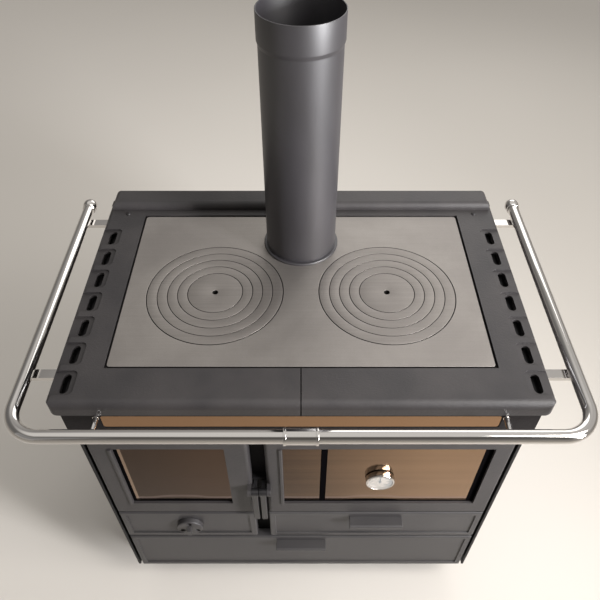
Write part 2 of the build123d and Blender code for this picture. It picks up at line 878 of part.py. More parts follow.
# ---- thermometer ----
def make_gauge_case():
    """The thermometer's turned case with a groove, a dial pocket and the stem into the oven."""
    front = glass_front_y - gauge_reach
    case = forward(gauge_radius, gauge_x, gauge_z, front, glass_front_y)
    case = fillet(case.edges().group_by(Axis.Y)[0], gauge_round)
    groove = forward(gauge_radius, gauge_x, gauge_z, front + gauge_groove_place,
                     front + gauge_groove_place + gauge_groove)
    groove -= forward(gauge_radius - gauge_groove, gauge_x, gauge_z,
                      front + gauge_groove_place, front + gauge_groove_place + gauge_groove)
    pocket = forward(gauge_radius - gauge_rim, gauge_x, gauge_z, front, front + gauge_pocket)
    stem = forward(gauge_stem_radius, gauge_x, gauge_z, glass_front_y,
                   glass_front_y + gauge_stem_length)
    return case - groove - pocket + stem


def make_gauge_dial():
    """The dial on the floor of the case's pocket, with a small post for the needle."""
    floor = glass_front_y - gauge_reach + gauge_pocket
    return forward(gauge_radius - gauge_rim - lens_clearance, gauge_x, gauge_z,
                   floor - dial_thickness, floor)


def make_gauge_lens():
    """The clear front of the thermometer."""
    front = glass_front_y - gauge_reach + lens_clearance
    return forward(gauge_radius - gauge_rim - lens_clearance, gauge_x, gauge_z,
                   front, front + lens_thickness)


def make_gauge_needle():
    """The needle with its hub, standing off the dial."""
    dial_front = glass_front_y - gauge_reach + gauge_pocket - dial_thickness
    back = dial_front - needle_play
    front = back - needle_thickness
    arm = block(gauge_x - needle_width / 2, gauge_x + needle_width / 2, front, back,
                gauge_z - needle_tail, gauge_z + needle_length)
    return arm + forward(needle_hub_radius, gauge_x, gauge_z, front, back)


# ---- firebox ----
def make_firebox_shell():
    """The steel shell round the fire: two sides and a back."""
    outer = block(shell_left, shell_right, frame_back_y, shell_back, floor_shelf_top, firebox_shell_top)
    inner = block(shell_left + firebox_shell_sheet, shell_right - firebox_shell_sheet, frame_back_y,
                  shell_back - firebox_shell_sheet, floor_shelf_top, firebox_shell_top)
    return outer - inner


def make_firebricks():
    """Firebricks against the shell's sides and back."""
    left = shell_left + firebox_shell_sheet
    right = shell_right - firebox_shell_sheet
    back = shell_back - firebox_shell_sheet
    side_back = back - brick_thickness - brick_gap
    length = (side_back - frame_back_y - (side_brick_count - 1) * brick_gap) / side_brick_count
    top = floor_shelf_top + brick_height
    bricks = [block(left, right, back - brick_thickness, back, floor_shelf_top, top)]
    for number in range(side_brick_count):
        front = frame_back_y + number * (length + brick_gap)
        for x0, x1 in ((left, left + brick_thickness), (right - brick_thickness, right)):
            bricks.append(block(x0, x1, front, front + length, floor_shelf_top, top))
    return bricks


def make_grate():
    """The cast fire grate: a slotted plate over the ash opening."""
    middle = (shell_left + shell_right) / 2
    front = frame_back_y + grate_front
    grate = block(middle - grate_width / 2, middle + grate_width / 2, front, front + grate_depth,
                  floor_shelf_top, floor_shelf_top + grate_thickness)
    usable = grate_width - 2 * grate_border
    pitch = grate_bar + grate_slot
    count = int((usable + grate_bar) // pitch)
    first = middle - (count * pitch - grate_bar) / 2
    for number in range(count):
        x = first + number * pitch
        grate -= block(x, x + grate_slot, front + grate_border, front + grate_depth - grate_border,
                       floor_shelf_top, floor_shelf_top + grate_thickness)
    return grate


def ash_opening():
    """The hole in the middle shelf under the grate."""
    middle = (shell_left + shell_right) / 2
    half = grate_width / 2 - grate_lap
    front = frame_back_y + grate_front + grate_lap
    return block(middle - half, middle + half, front, front + grate_depth - 2 * grate_lap,
                 floor_shelf_top - shelf_sheet, floor_shelf_top)


# ---- oven ----
def oven_walls():
    """The oven box's outer faces: x0, x1, z0, z1."""
    return (oven_left + door_lap + oven_play, doors_right - door_lap - oven_play,
            door_bottom + door_lap + oven_play, door_top - door_lap - oven_play)


def runner_tops():
    """The heights that a rack can rest at."""
    return [oven_walls()[2] + level for level in runner_levels]


def make_oven_box():
    """The oven: a box open to the front with a flange behind the front frame, and its runners."""
    walls = oven_walls()
    back = frame_back_y + oven_depth
    box = window_block(walls, frame_back_y, back)
    box -= window_block(grown(walls, -box_sheet), frame_back_y, back - box_sheet)
    flange = window_block(grown(walls, oven_flange), frame_back_y, frame_back_y + box_sheet)
    flange -= window_block(walls, frame_back_y, frame_back_y + box_sheet)
    pieces = [box + flange]
    left, right = walls[0] + box_sheet, walls[1] - box_sheet
    for top in runner_tops():
        for x0, x1 in ((left, left + runner_width), (right - runner_width, right)):
            pieces.append(block(x0, x1, frame_back_y + rack_side_gap, back - box_sheet,
                                top - runner_height, top))
    return pieces


def make_rack():
    """The oven rack: a wire frame with cross wires."""
    walls = oven_walls()
    left = walls[0] + box_sheet + rack_side_gap
    right = walls[1] - box_sheet - rack_side_gap
    front = frame_back_y + rack_front_gap
    back = front + rack_depth
    z = runner_tops()[rack_level] + rack_wire + rack_float
    rack = forward(rack_wire, left + rack_wire, z, front, back)
    rack += forward(rack_wire, right - rack_wire, z, front, back)
    for y in (front + rack_wire, back - rack_wire):
        rack += sideways(rack_wire, y, z, left + rack_wire, right - rack_wire)
    count = int((right - left - 4 * rack_wire) // rack_bar_pitch)
    first = (left + right) / 2 - (count - 1) * rack_bar_pitch / 2
    for number in range(count):
        rack += forward(rack_bar, first + number * rack_bar_pitch, z, front + rack_wire, back - rack_wire)
    return rack


# ---- drawers ----
def open_box(x0, x1, y0, y1, z0, z1, wall):
    """A box open at the top."""
    inner = block(x0 + wall, x1 - wall, y0 + wall, y1 - wall, z0 + wall, z1)
    return block(x0, x1, y0, y1, z0, z1) - inner


def drawer_front(left, right, bottom, top):
    """A drawer's front panel: rounded slab with a sunk field."""
    back = door_face_y + front_panel_thickness
    panel = block(left, right, door_face_y, back, bottom, top)
    panel = fillet(panel.edges().group_by(Axis.Y)[0], outer_stile_round)
    field = block(left + front_border, right - front_border, door_face_y, door_face_y + front_recess,
                  bottom + front_border, top - front_border)
    return panel - field


def hollow_front(left, right, bottom, top):
    """A drawer's front panel pressed as a tray, open at the back."""
    skin = door_face_y + front_recess + front_skin
    return drawer_front(left, right, bottom, top) - block(
        left + front_skin, right - front_skin, skin, door_face_y + front_panel_thickness,
        bottom + front_skin, top - front_skin)


def drawer_grip(x, z):
    """A cast pull: a shelf out from the panel with a lip turned down."""
    face = door_face_y + front_recess
    front = door_face_y - grip_depth
    half = grip_width / 2
    shelf = block(x - half, x + half, front, face, z - grip_thickness, z)
    lip = block(x - half, x + half, front, front + grip_thickness, z - grip_lip, z)
    grip = shelf + lip
    return fillet(grip.edges().filter_by(Axis.X).group_by(Axis.Z)[-1].sort_by(Axis.Y)[0],
                  grip_thickness / 2)


def make_drawer(left, right, bottom, top, box_bottom, box_top, depth, lap, grip_z):
    """A drawer: front panel with its grip, and the box behind it."""
    panel = hollow_front(left, right, bottom, top)
    panel += drawer_grip((left + right) / 2, grip_z)
    skin = door_face_y + front_recess + front_skin
    back = door_face_y + front_panel_thickness + depth
    box = open_box(left + lap + drawer_clearance, right - lap - drawer_clearance, skin, back,
                   box_bottom, box_top, drawer_sheet)
    return panel + box


def make_warming_drawer():
    """The drawer under the oven."""
    return make_drawer(oven_left, doors_right, low_bottom, low_top, low_shelf_top + low_drawer_runner,
                       low_top - drawer_lap - drawer_clearance, low_drawer_depth, door_lap,
                       low_top - front_border - drawer_clearance)


def make_wood_drawer():
    """The firewood drawer across the whole width."""
    return make_drawer(doors_left, doors_right, wood_bottom, wood_top, base_top + wood_drawer_runner,
                       wood_top - drawer_lap - drawer_clearance, wood_drawer_depth, drawer_lap,
                       wood_top - front_border - drawer_clearance)


def air_centre():
    """The X and Z of the air control on the ash drawer."""
    return (doors_left + firebox_right) / 2, (low_bottom + low_top) / 2


def air_holes(y0, y1):
    """The ring of air holes, through a plate."""
    x, z = air_centre()
    holes = []
    for number in range(air_hole_count):
        angle = math.radians(90 + number * 360 / air_hole_count)
        holes.append(forward(air_hole_radius, x + air_hole_spread * math.cos(angle),
                             z + air_hole_spread * math.sin(angle), y0, y1))
    return holes


def make_ash_drawer():
    """The ash drawer: a front panel with air holes, and behind it a pan welded from four sheets."""
    panel = drawer_front(doors_left, firebox_right, low_bottom, low_top)
    back = door_face_y + front_panel_thickness
    x, z = air_centre()
    for hole in air_holes(door_face_y, back):
        panel -= hole
    left = doors_left + door_lap + drawer_clearance
    right = firebox_right - door_lap - drawer_clearance
    top = low_top - drawer_lap - drawer_clearance
    end = back + low_drawer_depth
    floor = low_shelf_top + drawer_sheet
    bottom = block(left, right, back, end, low_shelf_top, floor)
    sides = [block(left, left + drawer_sheet, back, end, floor, top),
             block(right - drawer_sheet, right, back, end, floor, top)]
    rear = block(left + drawer_sheet, right - drawer_sheet, end - drawer_sheet, end, floor, top)
    bore = forward(air_knob_shaft + air_knob_shaft_clearance, x, z, door_face_y, back)
    return panel - bore, bottom, *sides, rear


def make_air_knob():
    """The air control: a turning disc with holes, a finger bar and a shaft through the panel."""
    x, z = air_centre()
    face = door_face_y + front_recess - air_knob_gap
    disc = forward(air_knob_radius, x, z, face - air_knob_thickness, face)
    disc = fillet(disc.edges().group_by(Axis.Y)[0], air_knob_thickness / 4)
    for hole in air_holes(face - air_knob_thickness, face):
        disc -= hole
    front = face - air_knob_thickness
    half = air_knob_grip_width / 2
    disc += block(x - half, x + half, front - air_knob_grip, front,
                  z - air_hole_spread / 2, z + air_hole_spread / 2)
    return disc + forward(air_knob_shaft, x, z, face, door_face_y + front_panel_thickness)


def runner_pair(left, right, floor, height, back):
    """Two angle runners: a bar under each side of a box and a fence outside it."""
    pair = []
    for edge, side in ((left, -1), (right, 1)):
        fence = edge + side * runner_side_play
        x0, x1 = sorted((edge - side * runner_base, fence + side * runner_fence))
        bar = block(x0, x1, frame_back_y, back, floor, floor + height)
        f0, f1 = sorted((fence, fence + side * runner_fence))
        pair.append(bar + block(f0, f1, frame_back_y, back, floor + height,
                                floor + height + runner_fence_height))
    return pair


def make_drawer_runners():
    """The runners of the warming drawer and the firewood drawer."""
    back = door_face_y + front_panel_thickness
    low = runner_pair(oven_left + door_lap + drawer_clearance, doors_right - door_lap - drawer_clearance,
                      low_shelf_top, low_drawer_runner, back + low_drawer_depth)
    wood = runner_pair(doors_left + drawer_lap + drawer_clearance,
                       doors_right - drawer_lap - drawer_clearance,
                       base_top, wood_drawer_runner, back + wood_drawer_depth)
    return low + wood


# ---- places shared by several pieces ----
pin_y = door_face_y + pin_inset
hub_y = door_face_y - handle_standoff
hub_z = door_top - handle_drop
glass_front_y = door_face_y + door_face_plate
gauge_x = oven_left + gauge_side
gauge_z = door_bottom + gauge_rise
shell_left = -inner_half + firebox_side_gap
shell_right = gap_x - firebox_side_gap
shell_back = frame_back_y + firebox_depth
firebox_shell_top = door_top - firebox_top_gap
smoke_half = smoke_box_width / 2
smoke_front_y = flue_y - pipe_radius - smoke_box_margin
smoke_back_y = hob_front_y + hob_depth + hob_gap - ledge_width
smoke_bottom = plate_bottom - smoke_box_height
damper_z = (smoke_bottom + plate_bottom) / 2
damper_y = smoke_front_y - damper_play - damper_sheet / 2
damper_rod_y = smoke_front_y - 2 * damper_play - damper_rod_radius


def main():
    os.makedirs("parts", exist_ok=True)
    plain_side, holed_side = make_side_panel()
    save("levelling_feet", *make_feet())
    save("plinth", make_plinth())
    save("base_plate", block(-inner_half, inner_half, frame_front_y, back_inner_y, base_bottom, base_top))
    save("side_panel_left", mirrored(plain_side))
    save("side_panel_right", holed_side)
    save("back_panel", make_back_panel())
    save("column_divider", *make_dividers())
    save("drawer_shelf", make_shelf(low_shelf_top))
    save("middle_shelf", make_shelf(floor_shelf_top, ash_opening()))
    save("front_frame", make_front_frame())
    save("cornice", make_cornice())
    save("cornice_strip", make_strip())
    right_casting = make_right_casting()
    save("worktop_right", right_casting)
    save("worktop_left", mirrored(right_casting))
    save("worktop_screws", *make_top_screws())
    save("rear_upstand", make_upstand())

    save("hob_plate", make_hob_plate())
    for side, x in (("left", -ring_spread), ("right", ring_spread)):
        save(f"{side}_hob_lid", make_lid(x))
        for number in range(1, len(ring_radii)):
            save(f"{side}_hob_ring_{number}", make_ring(number, x))

    save("flue_collar", make_collar())
    save("flue_pipe", make_pipe())
    save("smoke_box", make_smoke_box())
    save("bypass_damper", make_damper())

    right_rail = make_right_rail()
    save("rail_right", right_rail)
    save("rail_left", mirrored(right_rail))
    save("rail_sleeve", make_sleeve())
    save("rail_end_balls", *make_rail_balls())
    save("rail_brackets", *make_rail_brackets())

    save("door_fittings", *make_hinge_pins(), make_striker())
    save("firebox_door_frame", make_door_frame(doors_left, firebox_right, firebox_window, -1))
    save("firebox_door_glass", make_door_glass(firebox_window))
    save("firebox_glass_retainer", make_retainer(firebox_window))
    save("firebox_door_seal", make_seal(doors_left, firebox_right))
    save("firebox_door_handle", make_handle(-1))
    save("oven_door_frame", make_door_frame(oven_left, doors_right, oven_window, 1))
    stem_hole = forward(gauge_stem_radius + gauge_stem_clearance, gauge_x, gauge_z,
                        glass_front_y, glass_front_y + glass_thickness)
    save("oven_door_glass", make_door_glass(oven_window) - stem_hole)
    save("oven_glass_retainer", make_retainer(oven_window))
    save("oven_door_handle", make_handle(1))
    save("thermometer_case", make_gauge_case())
    save("thermometer_dial", make_gauge_dial())
    save("thermometer_needle", make_gauge_needle())
    save("thermometer_lens", make_gauge_lens())

    save("firebox_shell", make_firebox_shell())
    save("firebricks", *make_firebricks())
    save("fire_grate", make_grate())
    save("oven_box", *make_oven_box())
    save("oven_rack", make_rack())

    save("ash_drawer", *make_ash_drawer())
    save("air_control_knob", make_air_knob())
    save("warming_drawer", make_warming_drawer())
    save("wood_drawer", make_wood_drawer())
    save("drawer_runners", *make_drawer_runners())


main()
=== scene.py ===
import bpy
import bmesh
import json
import math
from mathutils import Vector, Matrix


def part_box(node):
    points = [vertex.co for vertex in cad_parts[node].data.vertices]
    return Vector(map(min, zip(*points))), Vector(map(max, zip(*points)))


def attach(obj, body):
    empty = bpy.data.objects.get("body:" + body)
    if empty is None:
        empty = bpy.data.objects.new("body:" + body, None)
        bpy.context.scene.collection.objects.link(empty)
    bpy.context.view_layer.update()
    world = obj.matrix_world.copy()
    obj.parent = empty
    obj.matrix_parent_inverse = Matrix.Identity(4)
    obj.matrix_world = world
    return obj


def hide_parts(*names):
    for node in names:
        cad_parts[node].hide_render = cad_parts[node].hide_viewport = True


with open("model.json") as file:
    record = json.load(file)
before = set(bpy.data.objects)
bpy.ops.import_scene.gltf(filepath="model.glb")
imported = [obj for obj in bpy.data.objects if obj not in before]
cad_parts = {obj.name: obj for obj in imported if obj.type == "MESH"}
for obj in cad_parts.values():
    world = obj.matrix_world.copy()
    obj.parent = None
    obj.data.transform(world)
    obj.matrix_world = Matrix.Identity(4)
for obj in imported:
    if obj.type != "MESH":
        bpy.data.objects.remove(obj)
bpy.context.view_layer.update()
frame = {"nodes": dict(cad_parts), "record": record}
nodes = frame["nodes"]
slotOf = {row["node"]: row["material_slot"] for row in frame["record"]["subparts"]}
bodyOf = {node: body for body, members in frame["record"]["behaviour"]["bodies"].items() for node in members}
print("frame loaded:", len(nodes), "nodes")


class Wire:
    # one output socket; arithmetic on it adds Math nodes
    def __init__(self, shop, socket):
        self.shop = shop
        self.socket = socket

    def other(self, name):
        # another output of the same node
        return Wire(self.shop, self.socket.node.outputs[name])

    def __add__(self, other):
        return self.shop.maths("ADD", self, other)

    def __radd__(self, other):
        return self.shop.maths("ADD", other, self)

    def __sub__(self, other):
        return self.shop.maths("SUBTRACT", self, other)

    def __rsub__(self, other):
        return self.shop.maths("SUBTRACT", other, self)

    def __mul__(self, other):
        return self.shop.maths("MULTIPLY", self, other)

    def __rmul__(self, other):
        return self.shop.maths("MULTIPLY", other, self)

    def __truediv__(self, other):
        return self.shop.maths("DIVIDE", self, other)

    def __gt__(self, other):
        return self.shop.maths("GREATER_THAN", self, other)

    def __lt__(self, other):
        return self.shop.maths("LESS_THAN", self, other)


class NodeShop:
    # makes any node of one tree: its settings first, then its sockets
    def __init__(self, tree):
        self.tree = tree

    def node(self, kind, settings=None, inputs=None, output=0):
        made = self.tree.nodes.new(kind)
        for name, value in (settings or {}).items():
            setattr(made, name, value)
        for name, value in (inputs or {}).items():
            if isinstance(value, Wire):
                self.tree.links.new(value.socket, made.inputs[name])
            else:
                made.inputs[name].default_value = value
        return Wire(self, made.outputs[output]) if len(made.outputs) else None

    def maths(self, operation, *values):
        return self.node("ShaderNodeMath", {"operation": operation}, dict(enumerate(values)))

    def vectorMaths(self, operation, first, second):
        inputs = {0: first, "Scale" if operation == "SCALE" else 1: second}
        return self.node("ShaderNodeVectorMath", {"operation": operation}, inputs)

    def combined(self, x, y, z):
        return self.node("ShaderNodeCombineXYZ", {}, {"X": x, "Y": y, "Z": z})

    def fade(self, value, low, high, start=0.0, end=1.0):
        # start below low, end above high, and a smooth change between them
        inputs = {"Value": value, "From Min": low, "From Max": high, "To Min": start, "To Max": end}
        return self.node("ShaderNodeMapRange", {"interpolation_type": "SMOOTHSTEP"}, inputs)

    def mix(self, factor, first, second):
        inputs = {0: factor, 6: first, 7: second}    # the colour sockets of the Mix node
        return self.node("ShaderNodeMix", {"data_type": "RGBA"}, inputs, 2)

    def within(self, value, low, high):
        # 1 between two places, 0 outside them
        return (value > low) * (value < high)


class Finish(NodeShop):
    # one material, patterned on Object coordinates
    def __init__(self, name):
        self.material = bpy.data.materials.new(name)
        self.material.use_nodes = True
        super().__init__(self.material.node_tree)
        self.tree.nodes.clear()
        self.place = self.node("ShaderNodeTexCoord", output="Object")

    def noise(self, scale, detail, roughness, stretch=(1, 1, 1), turn=(0, 0, 0), distortion=0.0):
        spot = self.node("ShaderNodeMapping", {}, {"Vector": self.place, "Rotation": turn, "Scale": stretch})
        inputs = {"Vector": spot, "Scale": scale, "Detail": detail, "Roughness": roughness,
                  "Distortion": distortion}
        return self.node("ShaderNodeTexNoise", {}, inputs)

    def axis(self, letter):
        return self.node("ShaderNodeSeparateXYZ", {}, {"Vector": self.place}, letter)

    def bump(self, height, strength, distance):
        inputs = {"Height": height, "Strength": strength, "Distance": distance}
        return self.node("ShaderNodeBump", {}, inputs)

    def mottled(self, cloud, look):
        # a finish's dark and light tone, mixed in clouds
        return self.mix(self.fade(cloud, *look["mottle"]), look["dark"], look["light"])

    def relief(self, height, look):
        return self.bump(height, look["reliefStrength"], look["relief"])

    def surface(self, **sockets):
        inputs = {name.replace("_", " "): value for name, value in sockets.items()}
        shader = self.node("ShaderNodeBsdfPrincipled", {}, inputs)
        self.node("ShaderNodeOutputMaterial", {}, {"Surface": shader})
        return self.material


def tone(red, green, blue):
    # a colour written as it looks on screen, 0 to 255, made linear for a socket
    def linear(value):
        value /= 255
        return value / 12.92 if value <= 0.04045 else ((value + 0.055) / 1.055) ** 2.4
    return (linear(red), linear(green), linear(blue), 1.0)


# finishes: scales are in waves per metre, relief is the bump's depth in metres
castPaint = {"dark": tone(44, 42, 43), "light": tone(56, 53, 53), "grain": 620, "wrinkle": 165, "cloud": 7,
             "mottle": (0.4, 0.85), "rough": 0.46, "gloss": 0.45, "relief": 0.0005, "reliefStrength": 0.7}
# a darker, duller copy of the cast paint for the cornice: painted shade for its place under the worktop's nose and
# the rail
corniceShadePaint = {**castPaint, "dark": tone(24, 22, 23), "light": tone(32, 30, 30), "gloss": 0.08}


def makeCastPaint(name, look):
    # heatproof paint over a fine sand-cast skin
    paint = Finish(name)
    grain = paint.noise(look["grain"], 3, 0.6)
    wrinkle = paint.noise(look["wrinkle"], 2, 0.5, stretch=(1, 1.6, 1.2), turn=(0, 0, 0.5), distortion=0.6)
    cloud = paint.noise(look["cloud"], 3, 0.55)
    rough = look["rough"] + 0.12 * cloud - 0.06 * wrinkle
    return paint.surface(Base_Color=paint.mottled(cloud + 0.25 * grain, look), Roughness=rough,
                         Specular_IOR_Level=look["gloss"], Normal=paint.relief(grain * 0.45 + wrinkle, look))


sheetPaint = {"dark": tone(52, 50, 51), "light": tone(60, 58, 58), "peel": 260, "cloud": 5, "mottle": (0.35, 0.7),
              "rough": 0.42, "relief": 0.0002, "reliefStrength": 0.25}


def makeSheetPaint():
    # sprayed paint with a faint orange peel
    paint = Finish("anthracite sheet paint")
    peel = paint.noise(sheetPaint["peel"], 2, 0.5)
    cloud = paint.noise(sheetPaint["cloud"], 3, 0.5)
    return paint.surface(Base_Color=paint.mottled(cloud, sheetPaint),
                         Roughness=sheetPaint["rough"] + 0.1 * cloud, Normal=paint.relief(peel, sheetPaint))


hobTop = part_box("hob_plate")[1].z
# groove is the dark colour of the painted shade in the hob's gaps and hole walls, which starts a little below the
# top face
hobSteel = {"dark": tone(152, 147, 143), "light": tone(168, 163, 158), "stain": tone(112, 107, 104),
            "groove": tone(26, 24, 23), "lines": 1400, "broadLines": 160, "cloud": 5, "speck": 1100,
            "mottle": (0.3, 0.72), "speckled": (0.5, 0.75), "rough": 0.46, "shadeDepth": 0.0003,
            "relief": 0.00008, "reliefStrength": 0.2}


def makeHobSteel(name, shade):
    # steel ground from side to side, finely speckled, with painted shade that darkens its gaps and hole walls; the
    # argument shade is how strongly the grinding lines show
    steel = Finish(name)
    fine = steel.noise(hobSteel["lines"], 2, 0.6, stretch=(0.008, 1, 1))
    broad = steel.noise(hobSteel["broadLines"], 3, 0.6, stretch=(0.02, 1, 1))
    cloud = steel.noise(hobSteel["cloud"], 4, 0.6, distortion=0.4)
    speck = steel.noise(hobSteel["speck"], 2, 0.7)
    speckled = steel.fade(speck, *hobSteel["speckled"], 0, 0.5)
    marked = steel.mix(speckled, steel.mottled(cloud, hobSteel), hobSteel["stain"])
    lined = steel.mix((fine * 0.5 + broad * 0.5) * shade, marked, hobSteel["stain"])
    # painted shade: the gap and hole walls below the top face turn dark, duller and less metallic
    sootAndShade = steel.axis("Z") < hobTop - hobSteel["shadeDepth"]
    rough = hobSteel["rough"] + 0.1 * cloud + 0.12 * fine
    return steel.surface(Base_Color=steel.mix(sootAndShade, lined, hobSteel["groove"]), Metallic=1 - 0.7 * sootAndShade,
                         Roughness=rough + 0.3 * sootAndShade,
                         Normal=steel.relief(fine + 0.4 * broad + 0.6 * speck, hobSteel))


fluePaint = {"dark": tone(32, 30, 33), "light": tone(41, 39, 43), "skin": 700, "cloud": 9, "mottle": (0.35, 0.7),
             "rough": 0.43, "gloss": 1.0, "relief": 0.00012, "reliefStrength": 0.25}


def makeFluePaint():
    # black heatproof paint with a dry, faintly mottled skin
    paint = Finish("black flue paint")
    skin = paint.noise(fluePaint["skin"], 2, 0.6)
    cloud = paint.noise(fluePaint["cloud"], 3, 0.5, stretch=(1, 1, 0.35))
    return paint.surface(Base_Color=paint.mottled(cloud, fluePaint), Roughness=fluePaint["rough"] + 0.06 * cloud,
                         Specular_IOR_Level=fluePaint["gloss"], Normal=paint.relief(skin, fluePaint))


def makePlated(name, colour, rough, smear):
    # polished plating with a faint wiped haze
    metal = Finish(name)
    haze = metal.noise(22, 3, 0.55, distortion=0.8)
    wipe = metal.noise(600, 2, 0.6, stretch=(0.05, 0.05, 1))
    return metal.surface(Base_Color=colour, Metallic=1.0,
                         Roughness=rough + smear * metal.fade(haze, 0.35, 0.75) + 0.02 * wipe)


doorGlass = {"highlightTone": tone(176, 152, 132), "haze": tone(150, 132, 130), "printTone": tone(10, 9, 10),
             "alpha": 0.94, "rough": 0.09, "cloud": 5, "boardLayers": 3, "boardReflectionRange": (0.35, 0.68), "boardReflectionShare": 0.13,
             "border": 0.4565, "crownWidth": 0.067, "crownHeight": 0.0075, "hazeRise": (0.008, 0.017),
             "hazeShare": 0.35, "highlightShare": 0.7}


def makeDoorGlass(name, deep, tint, sweep, bands, crown, edges=()):
    # mirror glass whose bronze tone is a painted reflection of a brown floor, lighter from one x to another, with
    # faint painted streaks of reflected floorboards; black print fills the bands from x to x and the foot, which
    # rises in a shallow crown, and a painted highlight makes the glass paler along the edges
    glass = Finish(name)
    x = glass.axis("X")
    z = glass.axis("Z")
    cloud = glass.noise(doorGlass["cloud"], 3, 0.5, stretch=(1, 1, 2.4))
    boardLayers = glass.noise(doorGlass["boardLayers"], 3, 0.6, stretch=(0.25, 1, 22))
    near = (x - crown) / doorGlass["crownWidth"]
    foot = doorGlass["border"] + doorGlass["crownHeight"] * glass.fade(near * near, 0.0, 1.0, 1.0, 0.0)
    printed = z < foot
    for low, high in bands:
        printed = printed + glass.within(x, low, high)
    mask = glass.fade(printed, 0.4, 0.6)
    # painted reflection: faint horizontal streaks of reflected floorboards in the glass's colour
    reflectedBoards = glass.fade(cloud * 0.4 + boardLayers * 0.6, *doorGlass["boardReflectionRange"])
    share = doorGlass["boardReflectionShare"]
    # painted reflection: the colour runs from deep to tint across x between the two values of sweep, lighter
    # towards higher x
    colour = glass.mix(share * reflectedBoards + (1 - share) * glass.fade(x, *sweep), deep, tint)
    hazy = glass.within(z - foot, *doorGlass["hazeRise"])
    colour = glass.mix(doorGlass["hazeShare"] * hazy, colour, doorGlass["haze"])
    # painted highlight: a paler strip on the glass between the x of each pair in edges
    for low, high in edges:
        colour = glass.mix(doorGlass["highlightShare"] * glass.within(x, low, high), colour, doorGlass["highlightTone"])
    return glass.surface(Base_Color=glass.mix(mask, colour, doorGlass["printTone"]),
                         Metallic=1 - mask, Specular_IOR_Level=0.0,
                         Roughness=doorGlass["rough"] + 0.25 * mask + 0.05 * cloud,
                         Alpha=doorGlass["alpha"] + (1 - doorGlass["alpha"]) * mask)


def makePlain(name, low, high, rough, metallic=0.0, scale=30, relief=0.0001, grain=400, gloss=0.5):
    # a quiet two-tone finish with a fine skin
    plain = Finish(name)
    cloud = plain.noise(scale, 4, 0.6)
    skin = plain.noise(grain, 2, 0.6)
    colour = plain.mix(plain.fade(cloud, 0.35, 0.7), low, high)
    return plain.surface(Base_Color=colour, Metallic=metallic, Roughness=rough + 0.12 * (cloud - 0.5),
                         Specular_IOR_Level=gloss, Normal=plain.bump(skin, 0.4, relief))


brickClay = {"dark": tone(196, 172, 138), "light": tone(222, 204, 172), "sootAndShade": tone(52, 46, 42), "pores": 320,
             "cloud": 18, "mottle": (0.3, 0.7), "sootRise": (0.47, 0.66), "sootShare": (0.85, 0.15),
             "rough": 0.92, "relief": 0.0006, "reliefStrength": 0.7}


def makeFirebrick():
    # dry fireclay, paler at the top, sooted towards the grate
    clay = Finish("fireclay")
    pores = clay.noise(brickClay["pores"], 4, 0.7)
    cloud = clay.noise(brickClay["cloud"], 4, 0.6)
    sootAndShade = clay.fade(clay.axis("Z") + 0.12 * cloud, *brickClay["sootRise"], *brickClay["sootShare"])
    return clay.surface(Base_Color=clay.mix(sootAndShade, clay.mottled(cloud, brickClay), brickClay["sootAndShade"]),
                        Roughness=brickClay["rough"], Normal=clay.relief(pores, brickClay))


ovenEnamel = {"ground": tone(38, 38, 42), "speck": tone(170, 170, 172), "specks": 260.0, "speckSize": (0.12, 0.2),
              "speckShare": 0.7, "rough": 0.22, "coat": 0.4}


def makeEnamel():
    # dark oven enamel with pale specks
    enamel = Finish("speckled enamel")
    dots = enamel.node("ShaderNodeTexVoronoi", {}, {"Vector": enamel.place, "Scale": ovenEnamel["specks"]})
    speck = enamel.fade(dots, *ovenEnamel["speckSize"], 1.0, 0.0)
    colour = enamel.mix(speck * ovenEnamel["speckShare"], ovenEnamel["ground"], ovenEnamel["speck"])
    return enamel.surface(Base_Color=colour, Roughness=ovenEnamel["rough"], Coat_Weight=ovenEnamel["coat"])


clearLens = {"tint": tone(240, 243, 242), "haze": 60, "rough": 0.03, "alpha": 0.16}


def makeLensGlass():
    # nearly invisible glass with a breath of haze
    lens = Finish("clear lens")
    haze = lens.noise(clearLens["haze"], 3, 0.5)
    return lens.surface(Base_Color=clearLens["tint"], Roughness=clearLens["rough"] + 0.05 * haze,
                        Alpha=clearLens["alpha"])


castIron = makeCastPaint("anthracite cast", castPaint)
# the cornice's darker copy of the cast paint is painted shade
corniceShadeIron = makeCastPaint("cornice cast", corniceShadePaint)
sheetPainted = makeSheetPaint()
plateSteel = makeHobSteel("ground hob steel", 0.3)
ringSteel = makeHobSteel("ground ring steel", 0.68)
lidSteel = makeHobSteel("ground lid steel", 0.72)
pipePaint = makeFluePaint()
mattBlack = makePlain("matt black paint", tone(22, 21, 22), tone(30, 29, 30), 0.62,
                      scale=60, relief=0.0002, grain=500, gloss=0.06)
bodyBlack = makePlain("black sheet paint", tone(26, 25, 26), tone(33, 32, 32), 0.5, scale=8, grain=320, gloss=0.15)
chrome = makePlated("chrome", tone(210, 207, 204), 0.05, 0.05)
